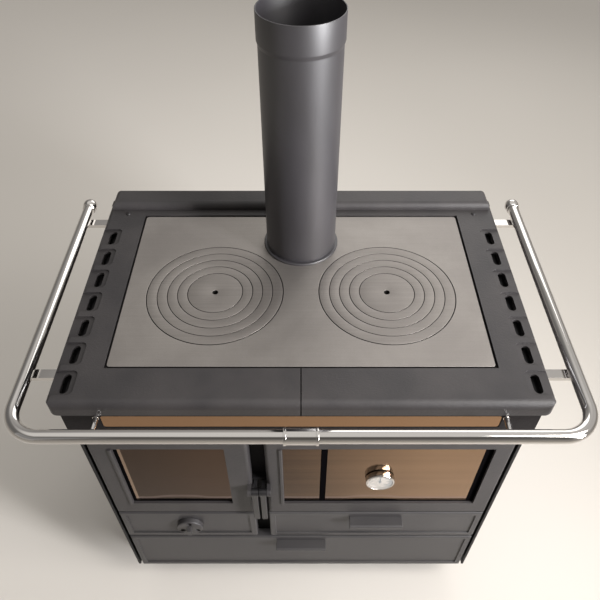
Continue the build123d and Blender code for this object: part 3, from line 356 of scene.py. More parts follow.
# polished steel tinted brown: the brown is a painted reflection of a brown floor
reflectionTintedStrip = makePlated("bronze strip", tone(153, 120, 90), 0.12, 0.05)
zincSteel = makePlain("zinc plated steel", tone(150, 150, 152), tone(172, 172, 172), 0.42, 0.9)
zincSheet = makePlain("dull zinc sheet", tone(140, 142, 144), tone(164, 166, 167), 0.5, 0.85, scale=40)
blackBolt = makePlain("black oxide", tone(34, 33, 34), tone(46, 44, 45), 0.36, 0.3)
handleBlack = makePlain("black handle", tone(26, 25, 26), tone(34, 33, 34), 0.34, scale=60)
rawSteel = makePlain("heat-darkened steel", tone(66, 60, 56), tone(92, 84, 78), 0.6, 0.7, scale=12)
rawIron = makePlain("raw cast iron", tone(58, 54, 52), tone(78, 72, 68), 0.72, 0.35,
                    scale=40, relief=0.0006, grain=260)
fireclay = makeFirebrick()
enamel = makeEnamel()
wirePlate = makePlated("plated wire", tone(205, 205, 205), 0.16, 0.06)
ropeGlass = makePlain("glass rope", tone(120, 116, 106), tone(164, 158, 146), 0.9,
                      scale=120, relief=0.0004, grain=1500)
dialPaint = makePlain("dial face", tone(158, 145, 130), tone(170, 157, 142), 0.5, scale=200)
inkBlack = makePlain("dial ink", tone(24, 23, 24), tone(30, 29, 30), 0.6, scale=200)
lensGlass = makeLensGlass()
print("finishes made")


# mesh helpers
def linked(name, data):
    # a new object in the scene
    made = bpy.data.objects.new(name, data)
    bpy.context.scene.collection.objects.link(made)
    return made


def settle(piece, body, slot, *stoodFor):
    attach(piece, body)
    if stoodFor:
        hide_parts(*stoodFor)


def standIn(piece, node):
    # the piece takes a CAD node's place, on the node's body
    settle(piece, bodyOf[node], slotOf[node], node)


def smooth(mesh, angle):
    mesh.shade_smooth()
    mesh.set_sharp_from_angle(angle=math.radians(angle))


def addPiece(name, mesh, material, smoothAngle=40):
    mesh.materials.clear()
    mesh.materials.append(material)
    smooth(mesh, smoothAngle)
    return linked(name, mesh)


def shownMesh(piece):
    # what the piece shows, as a plain mesh
    shown = piece.evaluated_get(bpy.context.evaluated_depsgraph_get())
    return bpy.data.meshes.new_from_object(shown)


def baked(piece):
    # the piece's modifiers worked into its mesh
    mesh = shownMesh(piece)
    piece.modifiers.clear()
    piece.data = mesh
    return piece


def span(node):
    # the lowest corner, the middle and the highest corner of a CAD node
    low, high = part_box(node)
    return low, (low + high) / 2, high


dressLook = {"merge": 1e-6, "flat": 0.4, "curve": 38}    # metres, degrees, degrees


def dress(node, material, edge, turns):
    # a copy of a CAD node with its flats joined up, its edges softened and its curves smoothed
    mesh = nodes[node].data.copy()
    work = bmesh.new()
    work.from_mesh(mesh)
    bmesh.ops.remove_doubles(work, verts=work.verts, dist=dressLook["merge"])
    bmesh.ops.dissolve_limit(work, angle_limit=math.radians(dressLook["flat"]), verts=work.verts,
                             edges=work.edges)
    work.to_mesh(mesh)
    work.free()
    piece = addPiece(node + "-finished", mesh, material, dressLook["curve"])
    softener = piece.modifiers.new("soft edges", "BEVEL")
    softener.width = edge
    softener.segments = turns
    softener.limit_method = "ANGLE"
    softener.angle_limit = math.radians(dressLook["curve"])
    baked(piece)
    smooth(piece.data, dressLook["curve"])
    flattener = piece.modifiers.new("flat faces shade flat", "WEIGHTED_NORMAL")
    flattener.weight = 100
    flattener.keep_sharp = True
    baked(piece)
    standIn(piece, node)


def roundedProfile(corners, steps=5):
    # corners are (radius, height, rounding); each rounded corner becomes an arc
    points = []
    for number, (r, h, rounding) in enumerate(corners):
        corner = Vector((r, h))
        if not rounding:
            points.append(corner)
            continue
        before = (Vector(corners[number - 1][:2]) - corner).normalized()
        after = (Vector(corners[(number + 1) % len(corners)][:2]) - corner).normalized()
        half = before.angle(after) / 2
        centre = corner + (before + after).normalized() * rounding / math.sin(half)
        start = corner + before * rounding / math.tan(half) - centre
        end = corner + after * rounding / math.tan(half) - centre
        sweep = start.angle_signed(end)
        for step in range(steps + 1):
            points.append(centre + Matrix.Rotation(-sweep * step / steps, 2) @ start)
    return points


def lathe(name, profile, centre, axis, material, sides):
    # a closed profile of (radius, height) turned round an axis through centre
    turnTo = {"X": Matrix.Rotation(math.radians(90), 4, "Y"), "Y": Matrix.Rotation(math.radians(-90), 4, "X"),
              "Z": Matrix.Identity(4)}[axis]
    vertices = []
    for side in range(sides):
        angle = 2 * math.pi * side / sides
        vertices += [(r * math.cos(angle), r * math.sin(angle), h) for r, h in profile]
    count = len(profile)
    faces = []
    for side in range(sides):
        this, following = side * count, (side + 1) % sides * count
        for step in range(count):
            ahead = (step + 1) % count
            faces.append((this + step, following + step, following + ahead, this + ahead))
    mesh = bpy.data.meshes.new(name)
    mesh.from_pydata(vertices, [], faces)
    work = bmesh.new()
    work.from_mesh(mesh)
    bmesh.ops.remove_doubles(work, verts=work.verts, dist=1e-7)    # the points on the axis
    bmesh.ops.dissolve_degenerate(work, edges=work.edges, dist=1e-7)
    bmesh.ops.recalc_face_normals(work, faces=work.faces)
    work.to_mesh(mesh)
    work.free()
    mesh.transform(Matrix.Translation(centre) @ turnTo)
    return addPiece(name, mesh, material)


class Recipe(NodeShop):
    # a Geometry Nodes tree with named inputs
    def __init__(self, name, inputs):
        tree = bpy.data.node_groups.new(name, "GeometryNodeTree")
        super().__init__(tree)
        tree.interface.new_socket(name="Geometry", in_out="INPUT", socket_type="NodeSocketGeometry")
        for title, kind in {**inputs, "Material": "Material"}.items():
            tree.interface.new_socket(name=title, in_out="INPUT", socket_type="NodeSocket" + kind)
        tree.interface.new_socket(name="Geometry", in_out="OUTPUT", socket_type="NodeSocketGeometry")
        self.entry = self.node("NodeGroupInput")

    def given(self, title):
        return self.entry.other(title)

    def bentPath(self, steps):
        # the chains of edges as curves, their corners bent to a radius
        path = self.node("GeometryNodeMeshToCurve", {}, {"Mesh": self.given("Geometry")})
        return self.node("GeometryNodeFilletCurve", {"mode": "POLY"},
                         {"Curve": path, "Count": steps, "Radius": self.given("Bend")})

    def ring(self, sides, radius):
        return self.node("GeometryNodeCurvePrimitiveCircle", {"mode": "RADIUS"},
                         {"Resolution": sides, "Radius": radius})

    def close(self, geometry):
        real = self.node("GeometryNodeRealizeInstances", {}, {"Geometry": geometry})
        coloured = self.node("GeometryNodeSetMaterial", {}, {"Geometry": real, "Material": self.given("Material")})
        self.node("NodeGroupOutput", {}, {"Geometry": coloured})

    def grow(self, name, points, edges, material, values, smoothAngle=40):
        mesh = bpy.data.meshes.new(name)
        mesh.from_pydata(points, edges, [])
        piece = linked(name, mesh)
        modifier = piece.modifiers.new("recipe", "NODES")
        modifier.node_group = self.tree
        sockets = {item.name: item.identifier for item in self.tree.interface.items_tree
                   if item.item_type == "SOCKET" and item.in_out == "INPUT"}
        for title, value in {**values, "Material": material}.items():
            modifier[sockets[title]] = value
        baked(piece)
        smooth(piece.data, smoothAngle)
        return piece


def makeTubeRecipe():
    # a round bar along each chain of edges, its corners bent to a radius
    recipe = Recipe("tube", {"Radius": "Float", "Bend": "Float", "Sides": "Int", "Bend Steps": "Int"})
    bent = recipe.bentPath(recipe.given("Bend Steps"))
    ring = recipe.ring(recipe.given("Sides"), recipe.given("Radius"))
    recipe.close(recipe.node("GeometryNodeCurveToMesh", {},
                             {"Curve": bent, "Profile Curve": ring, "Fill Caps": True}))
    return recipe


def makeScatterRecipe():
    # one copy of a small piece on every point
    recipe = Recipe("scatter", {"Head": "Object", "Turn": "Rotation", "Size": "Float"})
    head = recipe.node("GeometryNodeObjectInfo", {}, {"Object": recipe.given("Head")}, "Geometry")
    recipe.close(recipe.node("GeometryNodeInstanceOnPoints", {},
                             {"Points": recipe.given("Geometry"), "Instance": head,
                              "Rotation": recipe.given("Turn"), "Scale": recipe.given("Size")}))
    return recipe


tube = makeTubeRecipe()
scatter = makeScatterRecipe()


def scattered(name, head, places, material, turn=(0, 0, 0), smoothAngle=40):
    # one mesh with a copy of the head on every place; the loose head is thrown away
    piece = scatter.grow(name, places, [], material, {"Head": head, "Turn": turn, "Size": 1.0}, smoothAngle)
    bpy.data.objects.remove(head)
    return piece


print("helpers ready")


# CAD pieces whose shape is right: finish, edge rounding in metres and its steps, then the nodes
dressed = [
    (castIron, 0.0009, 3, "worktop_left", "worktop_right"),
    (castIron, 0.0008, 2, "rear_upstand"),
    (corniceShadeIron, 0.0008, 2, "cornice"),
    (reflectionTintedStrip, 0.0004, 2, "cornice_strip"),
    (castIron, 0.0007, 2, "firebox_door_frame", "oven_door_frame"),
    (mattBlack, 0.0005, 2, "front_frame", "door_fittings"),
    (bodyBlack, 0.0008, 2, "side_panel_left", "side_panel_right"),
    (sheetPainted, 0.0008, 2, "plinth", "ash_drawer", "warming_drawer", "wood_drawer", "air_control_knob",
     "bypass_damper"),
    (plateSteel, 0.0012, 3, "hob_plate"),
    (fireclay, 0.0016, 2, "firebricks"),
    (rawIron, 0.001, 2, "fire_grate"),
    (rawSteel, 0.0008, 2, "firebox_shell"),
    (enamel, 0.0006, 2, "oven_box"),
    (zincSteel, 0.0006, 2, "levelling_feet"),
    (chrome, 0.0005, 2, "rail_brackets"),
    (handleBlack, 0.0012, 3, "firebox_door_handle", "oven_door_handle"),
    (zincSteel, 0.0004, 1, "firebox_glass_retainer", "oven_glass_retainer"),
    (pipePaint, 0.0006, 1, "smoke_box"),
]
for material, edge, turns, *members in dressed:
    for node in members:
        dress(node, material, edge, turns)
for node in ("back_panel", "base_plate", "drawer_shelf", "middle_shelf", "column_divider", "drawer_runners"):
    nodes[node].data.materials.clear()
    nodes[node].data.materials.append(zincSheet)
print("castings and sheets dressed")


# flue
flueLook = {"wall": 0.002, "socketPlay": 0.0002, "socketLength": 0.05, "flare": 0.008, "shoulder": 0.004,
            "lip": 0.0006, "sides": 128}
collarLook = {"wall": 0.0045, "fit": 0.0003, "edge": 0.0016, "lip": 0.0006}


def makePipe():
    # a straight pipe that flares into a socket for the next length
    low, middle, high = span("flue_pipe")
    lip, shoulder = flueLook["lip"], flueLook["shoulder"]
    outer = (high.x - low.x) / 2
    inner = outer - flueLook["wall"]
    radius = inner - flueLook["socketPlay"]
    bore = radius - flueLook["wall"]
    height = high.z - low.z
    socket = height - flueLook["socketLength"]
    neck = socket - flueLook["flare"]
    profile = roundedProfile([(bore, 0, lip), (radius, 0, lip), (radius, neck, shoulder), (outer, socket, shoulder),
                              (outer, height, lip), (inner, height, lip), (inner, socket, 0), (bore, neck, 0)])
    foot = Vector((middle.x, middle.y, low.z))
    standIn(lathe("flue_pipe-turned", profile, foot, "Z", pipePaint, flueLook["sides"]), "flue_pipe")
    return foot, bore


def makeCollar(pipeFoot, pipeBore):
    # a flange on the hob with a spigot up inside the pipe
    low, middle, high = span("flue_collar")
    edge, lip = collarLook["edge"], collarLook["lip"]
    flange = (high.x - low.x) / 2
    foot, face, top = low.z - hobTop, pipeFoot.z - hobTop, high.z - hobTop
    spigot = pipeBore - collarLook["fit"]
    bore = spigot - collarLook["wall"]
    profile = roundedProfile([(bore, foot, 0), (spigot, foot, 0), (spigot, 0, 0), (flange, 0, 0),
                              (flange, face, edge), (spigot, face, 0), (spigot, top, lip), (bore, top, lip)])
    centre = (pipeFoot.x, pipeFoot.y, hobTop)
    standIn(lathe("flue_collar-turned", profile, centre, "Z", pipePaint, flueLook["sides"]), "flue_collar")


makeCollar(*makePipe())
print("flue made")


# hob rings and lids
ringLook = {"step": 0.005, "lip": 0.0045, "gap": 0.0014, "edge": 0.0003, "lidHole": 0.006, "sides": 160}


def steppedProfile(outer, inner, height):
    # a ring that rests on the step of the next one out, and has a step for the next one in
    step, lip, edge = ringLook["step"], ringLook["lip"], ringLook["edge"]
    seat = inner - step if inner else ringLook["lidHole"]
    corners = [(outer - step, 0, 0), (outer - step, lip, 0), (outer, lip, 0), (outer, height, edge)]
    if inner:
        corners += [(inner, height, edge), (inner, lip, 0), (seat, lip, 0), (seat, 0, 0)]
    else:
        corners += [(seat, height, edge), (seat, 0, 0)]
    return roundedProfile(corners, 3)


def makeRings(side):
    # from the lid outwards, each ring a gap wider than the one inside it
    inner = 0
    for name in [f"{side}_hob_lid"] + [f"{side}_hob_ring_{number}" for number in (1, 2, 3, 4)]:
        low, middle, high = span(name)
        outer = (high.x - low.x) / 2
        profile = steppedProfile(outer, inner, high.z - low.z)
        steel = ringSteel if inner else lidSteel
        centre = (middle.x, middle.y, low.z)
        standIn(lathe(name + "-turned", profile, centre, "Z", steel, ringLook["sides"]), name)
        inner = outer + ringLook["gap"]


for side in ("left", "right"):
    makeRings(side)
print("hob rings turned")


# rail
railLook = {"bend": 0.06, "sides": 40, "bendSteps": 28}
sleeveLook = {"wall": 0.002, "ring": 0.005, "ringHeight": 0.0012, "edge": 0.0006, "innerEdge": 0.0005, "sides": 64}
ballLook = {"neck": 0.01025, "neckRise": 0.001, "collar": 0.0142, "collarLength": 0.006, "foot": 0.001,
            "edge": 0.0012, "steps": 28, "sides": 48}


def makeRails():
    # two tubes that meet in the sleeve, each bent back along its side
    low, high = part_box("rail_right")
    radius = (high.z - low.z) / 2
    y, z = low.y + radius, low.z + radius
    sideX = high.x - radius
    values = {"Radius": radius, "Bend": railLook["bend"], "Sides": railLook["sides"],
              "Bend Steps": railLook["bendSteps"]}
    for side, node in ((1, "rail_right"), (-1, "rail_left")):
        points = [(side * low.x, y, z), (side * sideX, y, z), (side * sideX, high.y, z)]
        standIn(tube.grow(node + "-bent", points, [(0, 1), (1, 2)], chrome, values, smoothAngle=50), node)
    return y, z


def makeSleeve(y, z):
    # a barrel with a raised ring at each end
    low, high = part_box("rail_sleeve")
    edge, innerEdge = sleeveLook["edge"], sleeveLook["innerEdge"]
    half = (high.x - low.x) / 2
    ring = (high.z - low.z) / 2
    barrel = ring - sleeveLook["ringHeight"]
    bore = barrel - sleeveLook["wall"]
    shoulder = half - sleeveLook["ring"]
    profile = roundedProfile([(bore, -half, 0), (ring, -half, edge), (ring, -shoulder, innerEdge),
                              (barrel, -shoulder, 0), (barrel, shoulder, 0), (ring, shoulder, innerEdge),
                              (ring, half, edge), (bore, half, 0)], 3)
    standIn(lathe("rail_sleeve-turned", profile, (0, y, z), "X", chrome, sleeveLook["sides"]), "rail_sleeve")


def makeRailBalls(z):
    # a turned ball with a collar on the end of each side rail
    low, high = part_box("rail_end_balls")
    ball = (high.z - low.z) / 2
    centreY = high.y - ball
    start = low.y - centreY
    end = start + ballLook["collarLength"]
    collar, neck, steps = ballLook["collar"], ballLook["neck"], ballLook["steps"]
    profile = roundedProfile([(0, start, 0), (collar, start, ballLook["foot"]), (collar, end, ballLook["edge"]),
                              (neck, end + ballLook["neckRise"], 0)], 3)
    sweep = math.pi - math.asin(neck / ball)
    for step in range(steps + 1):
        angle = sweep * (1 - step / steps)
        profile.append(Vector((ball * math.sin(angle), ball * math.cos(angle))))
    for side, ending in ((-1, "left"), (1, "right")):
        centre = (side * (high.x - ball), centreY, z)
        standIn(lathe("rail_ball_" + ending, profile, centre, "Y", chrome, ballLook["sides"]), "rail_end_balls")


railY, railZ = makeRails()
makeSleeve(railY, railZ)
makeRailBalls(railZ)
print("rail bent")


# worktop screws
screwLook = {"radius": 0.005, "height": 0.003, "brim": 0.00075, "shank": 0.003, "socketMouth": 0.00144,
             "socketFoot": 0.00128, "socketRim": 0.00291, "socketFloor": 0.00105, "domeSweep": 80, "domeSteps": 8,
             "sides": 24, "uprightRatio": 1.3}


def makeScrew(length):
    # a domed head with a sunk socket on a plain shank, the head's foot at the origin
    radius, height, brim, shank = (screwLook[key] for key in ("radius", "height", "brim", "shank"))
    profile = [Vector((0, height - length)), Vector((shank, height - length)), Vector((shank, 0)),
               Vector((radius, 0)), Vector((radius, brim))]
    steps = screwLook["domeSteps"]
    for step in range(1, steps + 1):
        angle = math.radians(screwLook["domeSweep"]) * step / steps
        profile.append(Vector((radius * math.cos(angle), brim + (height - brim) * math.sin(angle))))
    profile += [Vector((screwLook["socketMouth"], screwLook["socketRim"])),
                Vector((screwLook["socketFoot"], screwLook["socketFloor"])), Vector((0, screwLook["socketFloor"]))]
    return lathe("screw", profile, (0, 0, 0), "Z", blackBolt, screwLook["sides"])


def looseBoxes(node):
    # the box of each separate solid in a CAD node
    work = bmesh.new()
    work.from_mesh(nodes[node].data)
    bmesh.ops.remove_doubles(work, verts=work.verts, dist=dressLook["merge"])
    waiting = set(work.verts)
    boxes = []
    while waiting:
        reached = [waiting.pop()]
        corners = []
        while reached:
            vertex = reached.pop()
            corners.append(vertex.co.copy())
            for edge in vertex.link_edges:
                following = edge.other_vert(vertex)
                if following in waiting:
                    waiting.remove(following)
                    reached.append(following)
        boxes.append((Vector([min(c[i] for c in corners) for i in range(3)]),
                      Vector([max(c[i] for c in corners) for i in range(3)])))
    work.free()
    return sorted(boxes, key=lambda box: tuple(box[0]))


def makeScrews():
    # the corner screws stand upright; the others go in through each side of the skirt
    ways = {"top": (Vector((0, 0, 1)), (0, 0, 0)), "left": (Vector((-1, 0, 0)), (0, -math.pi / 2, 0)),
            "right": (Vector((1, 0, 0)), (0, math.pi / 2, 0))}
    feet = {way: [] for way in ways}
    length = {}
    for low, high in looseBoxes("worktop_screws"):
        size = high - low
        middle = (low + high) / 2
        if size.z > size.x * screwLook["uprightRatio"]:
            way, tip, length["top"] = "top", Vector((middle.x, middle.y, high.z)), size.z
        else:
            way = "left" if low.x < 0 else "right"
            tip = Vector((low.x if way == "left" else high.x, middle.y, middle.z))
            length[way] = size.x
        feet[way].append(tip - ways[way][0] * screwLook["height"])
    for way, (outward, turn) in ways.items():
        screw = makeScrew(length[way])
        standIn(scattered(f"worktop_screws_{way}", screw, feet[way], blackBolt, turn), "worktop_screws")


makeScrews()
print("screws set")


# back panel: a pressed hood over each louvre slot, and its screws
backLook = {"hoodReach": 0.0045, "hoodLap": 0.0035, "hoodSteps": 18, "hoodRows": 6, "hoodFullness": 4,
            "hoodFall": 0.7, "sheet": 0.0007, "border": 0.03, "screwInset": 0.012, "screwPitch": 0.11}
sheetScrewLook = {"radius": 0.0042, "height": 0.002, "sunk": 0.0005, "round": 0.0014, "recessMouth": 0.00168,
                  "recessFoot": 0.001428, "recessFloor": 0.0006, "sides": 20}


def louvreSlots():
    # the slots' boxes, from the short edges of the panel's holes on its outer face
    low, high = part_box("back_panel")
    border = backLook["border"]
    corners = {(round(v.co.x, 4), round(v.co.z, 4)) for v in nodes["back_panel"].data.vertices
               if v.co.y > high.y - 1e-4}
    inner = [(x, z) for x, z in corners
             if low.x + border < x < high.x - border and low.z + border < z < high.z - border]
    xs = sorted({x for x, z in inner})
    zs = sorted({z for x, z in inner})
    return [(xs[i], xs[i + 1], zs[j], zs[j + 1]) for i in range(0, len(xs) - 1, 2)
            for j in range(0, len(zs) - 1, 2)], high.y


def makeHood(width, height):
    # a half-dome pressed out of the sheet, open below
    reach, lap, steps, rows = (backLook[key] for key in ("hoodReach", "hoodLap", "hoodSteps", "hoodRows"))
    across = width / 2 + lap
    points = []
    for row in range(rows + 1):
        up = row / rows
        for step in range(steps + 1):
            side = 2 * step / steps - 1
            bulge = (math.sqrt(max(0.0, 1 - side ** backLook["hoodFullness"]))
                     * math.cos(up * math.pi / 2) ** backLook["hoodFall"])
            points.append((side * across, reach * bulge, up * (height + lap) - height / 2))
    faces = []
    for row in range(rows):
        for step in range(steps):
            corner = row * (steps + 1) + step
            faces.append((corner, corner + steps + 1, corner + steps + 2, corner + 1))
    mesh = bpy.data.meshes.new("louvre_hood")
    mesh.from_pydata(points, [], faces)
    hood = addPiece("louvre_hood", mesh, zincSheet, 60)
    thick = hood.modifiers.new("sheet", "SOLIDIFY")
    thick.thickness = backLook["sheet"]
    thick.offset = -1
    return baked(hood)


def makeLouvreHoods():
    slots, face = louvreSlots()
    x0, x1, z0, z1 = slots[0]
    centres = [((a + b) / 2, face, (c + d) / 2) for a, b, c, d in slots]
    hoods = scattered("back_louvre_hoods", makeHood(x1 - x0, z1 - z0), centres, zincSheet, smoothAngle=60)
    settle(hoods, "carcass", "galvanised_sheet")


def makeBackScrews():
    # a row of screws along each edge of the panel, evenly spaced
    low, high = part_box("back_panel")
    inset, pitch = backLook["screwInset"], backLook["screwPitch"]
    x0, x1, z0, z1 = low.x + inset, high.x - inset, low.z + inset, high.z - inset
    across = round((x1 - x0) / pitch)
    upward = round((z1 - z0) / pitch)
    places = [(x0 + (x1 - x0) * i / across, high.y, z) for i in range(across + 1) for z in (z0, z1)]
    places += [(x, high.y, z0 + (z1 - z0) * i / upward) for i in range(1, upward) for x in (x0, x1)]
    radius, height, sunk = (sheetScrewLook[key] for key in ("radius", "height", "sunk"))
    floor = sheetScrewLook["recessFloor"]
    profile = roundedProfile([(0, -sunk, 0), (radius, -sunk, 0), (radius, height, sheetScrewLook["round"]),
                              (sheetScrewLook["recessMouth"], height, 0),
                              (sheetScrewLook["recessFoot"], floor, 0), (0, floor, 0)], 4)
    head = lathe("sheet_screw", profile, (0, 0, 0), "Y", zincSteel, sheetScrewLook["sides"])
    settle(scattered("back_panel_screws", head, places, zincSteel), "carcass", "galvanised_sheet")


makeLouvreHoods()
makeBackScrews()
print("back panel finished")


# door glass
# deep and tint are the dark and light ends of a painted floor reflection in each door's glass, and sweep is where
# it turns from one to the other
glassLook = {
    "firebox": {"deep": tone(62, 46, 33), "tint": tone(80, 60, 44), "sweep": (-0.36, -0.15),
                # the firebox's edges strip is a painted highlight on the glass
                "bands": [(-0.40, -0.363)], "crown": -0.264, "edges": [(-0.363, -0.357)]},
    "oven": {"deep": tone(72, 56, 43), "tint": tone(152, 123, 96), "sweep": (-0.09, 0.30),
             "bands": [(0.040, 0.0532), (0.3645, 0.40)], "crown": 0.158},
}
for door, look in glassLook.items():
    dress(f"{door}_door_glass", makeDoorGlass(f"{door} door glass", **look), 0.0004, 1)
print("glass fitted")


# oven thermometer
gaugeLook = {"groove": 0.0015, "grooveEdge": 0.0005, "rim": 0.0035, "rimEdge": 0.0008, "pocket": 0.006,
             "edge": 0.0026, "stem": 0.005, "stemLength": 0.045, "stemEdge": 0.0012, "sides": 96,
             "discSides": 64, "chrome": tone(214, 210, 206), "grooveTone": tone(12, 12, 12),
             "grooveLap": 0.0003}
dialLook = {"sweep": 270, "marks": 31, "markRadius": 0.0215, "markLength": 0.0022, "markWidth": 0.00045,
            "markDepth": 0.0002, "longEvery": 5.0, "longer": 0.6, "numbers": (0, 50, 100, 150, 200, 250, 300),
            "numberRadius": 0.0165, "numberSize": 0.0042, "ink": 0.00008}


def makeGaugeChrome(grooveFront, grooveBack):
    # the case's chrome, with its turned groove blacked
    metal = Finish("thermometer chrome")
    haze = metal.noise(60, 3, 0.55, distortion=0.8)
    mask = metal.within(metal.axis("Y"), grooveFront, grooveBack)
    return metal.surface(Base_Color=metal.mix(mask, gaugeLook["chrome"], gaugeLook["grooveTone"]),
                         Metallic=1 - mask, Roughness=0.06 + 0.05 * haze + 0.5 * mask)


def makeDisc(node, x, z, material, edge, steps):
    # a flat round piece with a soft front edge
    low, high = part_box(node)
    radius = (high.x - low.x) / 2
    thick = high.y - low.y
    profile = roundedProfile([(0, 0, 0), (radius, 0, edge), (radius, thick, 0), (0, thick, 0)], steps)
    standIn(lathe(node + "-turned", profile, (x, low.y, z), "Y", material, gaugeLook["discSides"]), node)
    return low.y


def makeGauge():
    # a case with a sunk face and a stem through the glass, its lens and its dial
    low, middle, high = span("thermometer_case")
    radius = (high.x - low.x) / 2
    depth = high.y - low.y
    reach = depth - gaugeLook["stemLength"]
    groove, stem, pocket = gaugeLook["groove"], gaugeLook["stem"], gaugeLook["pocket"]
    opening = radius - gaugeLook["rim"]
    place = reach - groove
    profile = roundedProfile([(0, pocket, 0), (opening, pocket, 0), (opening, 0, gaugeLook["rimEdge"]),
                              (radius, 0, gaugeLook["edge"]), (radius, place, gaugeLook["grooveEdge"]),
                              (radius - groove, place, 0), (radius - groove, reach, 0), (stem, reach, 0),
                              (stem, depth, gaugeLook["stemEdge"]), (0, depth, 0)], 4)
    caseChrome = makeGaugeChrome(low.y + place - gaugeLook["grooveLap"], low.y + reach)
    centre = (middle.x, low.y, middle.z)
    standIn(lathe("thermometer_case-turned", profile, centre, "Y", caseChrome, gaugeLook["sides"]),
            "thermometer_case")
    makeDisc("thermometer_lens", middle.x, middle.z, lensGlass, 0.0004, 3)
    dialFace = makeDisc("thermometer_dial", middle.x, middle.z, dialPaint, 0.0003, 2)
    return middle.x, dialFace - dialLook["ink"], middle.z


def makeMarkRecipe():
    # short bars round part of a circle, every few of them longer and wider
    recipe = Recipe("dial marks", {"Count": "Int", "Sweep": "Float", "Radius": "Float", "Length": "Float",
                                   "Width": "Float", "Centre": "Vector"})
    index = recipe.node("GeometryNodeInputIndex")
    sweep = recipe.given("Sweep")
    angle = index / (recipe.given("Count") - 1.0) * sweep - sweep * 0.5
    radius = recipe.given("Radius")
    spot = recipe.combined(recipe.maths("SINE", angle) * radius, 0.0, recipe.maths("COSINE", angle) * radius)
    place = recipe.vectorMaths("ADD", spot, recipe.given("Centre"))
    points = recipe.node("GeometryNodePoints", {}, {"Count": recipe.given("Count"), "Position": place})
    major = recipe.maths("MODULO", index, dialLook["longEvery"]) < 0.5
    size = recipe.combined(recipe.given("Width") * (1 + major), dialLook["markDepth"],
                           recipe.given("Length") * (1 + dialLook["longer"] * major))
    bar = recipe.node("GeometryNodeMeshCube", {}, {"Size": (1.0, 1.0, 1.0)})
    recipe.close(recipe.node("GeometryNodeInstanceOnPoints", {},
                             {"Points": points, "Instance": bar, "Rotation": recipe.combined(0.0, angle, 0.0),
                              "Scale": size}))
    return recipe


def makeDialPrint(x, ink, z):
    # the scale's marks and its plain numbers
    sweep = math.radians(dialLook["sweep"])
    values = {"Count": dialLook["marks"], "Sweep": sweep, "Radius": dialLook["markRadius"],
              "Length": dialLook["markLength"], "Width": dialLook["markWidth"], "Centre": (x, ink, z)}
    marks = makeMarkRecipe().grow("dial_marks", [(x, ink, z)], [], inkBlack, values)
    settle(marks, "oven_door", "dial_face")
    reach = dialLook["numberRadius"]
    for number, value in enumerate(dialLook["numbers"]):
        angle = sweep * (number / (len(dialLook["numbers"]) - 1) - 0.5)
        curve = bpy.data.curves.new(f"dial_number_{value}", "FONT")
        curve.body = str(value)
        curve.size = dialLook["numberSize"]
        curve.align_x = "CENTER"
        curve.align_y = "CENTER"
        curve.extrude = dialLook["ink"]
        holder = linked(curve.name, curve)
        mesh = shownMesh(holder)
        spot = Vector((x + math.sin(angle) * reach, ink, z + math.cos(angle) * reach))
        mesh.transform(Matrix.Translation(spot) @ Matrix.Rotation(math.radians(90), 4, "X"))
        bpy.data.objects.remove(holder)
        settle(addPiece(f"dial_number_{value}", mesh, inkBlack), "oven_door", "dial_face")


makeDialPrint(*makeGauge())
dress("thermometer_needle", inkBlack, 0.0001, 1)
print("thermometer made")


# rope seal on the firebox door
ropeLook = {"radius": 0.0044, "strand": 0.0021, "strands": 4, "lay": 0.022, "flat": 0.29, "bend": 0.012,
            "bendSteps": 6, "pace": 0.003, "sides": 8}
aroundFour = [(0, 1), (1, 2), (2, 3), (3, 0)]    # the edges of a closed rectangle


def makeRopeRecipe():
    # strands wound round each chain of edges
    recipe = Recipe("rope", {"Core": "Float", "Strand": "Float", "Strands": "Int", "Lay": "Float", "Bend": "Float"})
    even = recipe.node("GeometryNodeResampleCurve", {"mode": "LENGTH"},
                       {"Curve": recipe.bentPath(ropeLook["bendSteps"]), "Length": ropeLook["pace"]})
    along = recipe.node("GeometryNodeSplineParameter", {}, {}, "Length")
    copies = recipe.node("GeometryNodeDuplicateElements", {"domain": "SPLINE"},
                         {"Geometry": even, "Amount": recipe.given("Strands")})
    which = copies.other("Duplicate Index")
    angle = 2 * math.pi * (along / recipe.given("Lay") + which / recipe.given("Strands"))
    normal = recipe.node("GeometryNodeInputNormal")
    side = recipe.vectorMaths("CROSS_PRODUCT", recipe.node("GeometryNodeInputTangent"), normal)
    core = recipe.given("Core")
    outward = recipe.vectorMaths("SCALE", normal, recipe.maths("COSINE", angle) * core)
    sideways = recipe.vectorMaths("SCALE", side, recipe.maths("SINE", angle) * core)
    wound = recipe.node("GeometryNodeSetPosition", {},
                        {"Geometry": copies, "Offset": recipe.vectorMaths("ADD", outward, sideways)})
    ring = recipe.ring(ropeLook["sides"], recipe.given("Strand"))
    recipe.close(recipe.node("GeometryNodeCurveToMesh", {}, {"Curve": wound, "Profile Curve": ring}))
    return recipe


def makeSeal():
    low, middle, high = span("firebox_door_seal")
    inset, y = ropeLook["radius"], middle.y
    x0, x1, z0, z1 = low.x + inset, high.x - inset, low.z + inset, high.z - inset
    points = [(x0, y, z0), (x1, y, z0), (x1, y, z1), (x0, y, z1)]
    values = {"Core": ropeLook["radius"] - ropeLook["strand"], "Strand": ropeLook["strand"],
              "Strands": ropeLook["strands"], "Lay": ropeLook["lay"], "Bend": ropeLook["bend"]}
    rope = makeRopeRecipe().grow("firebox_rope_seal", points, aroundFour, ropeGlass, values, smoothAngle=80)
    for vertex in rope.data.vertices:    # pressed flat between door and frame
        vertex.co.y = y + (vertex.co.y - y) * ropeLook["flat"]
    standIn(rope, "firebox_door_seal")


makeSeal()
print("rope seal laid")


# oven rack
rackLook = {"wire": 0.003, "wireSides": 16, "bar": 0.002, "barSides": 12, "pitch": 0.022, "corner": 0.008,
            "cornerSteps": 6}


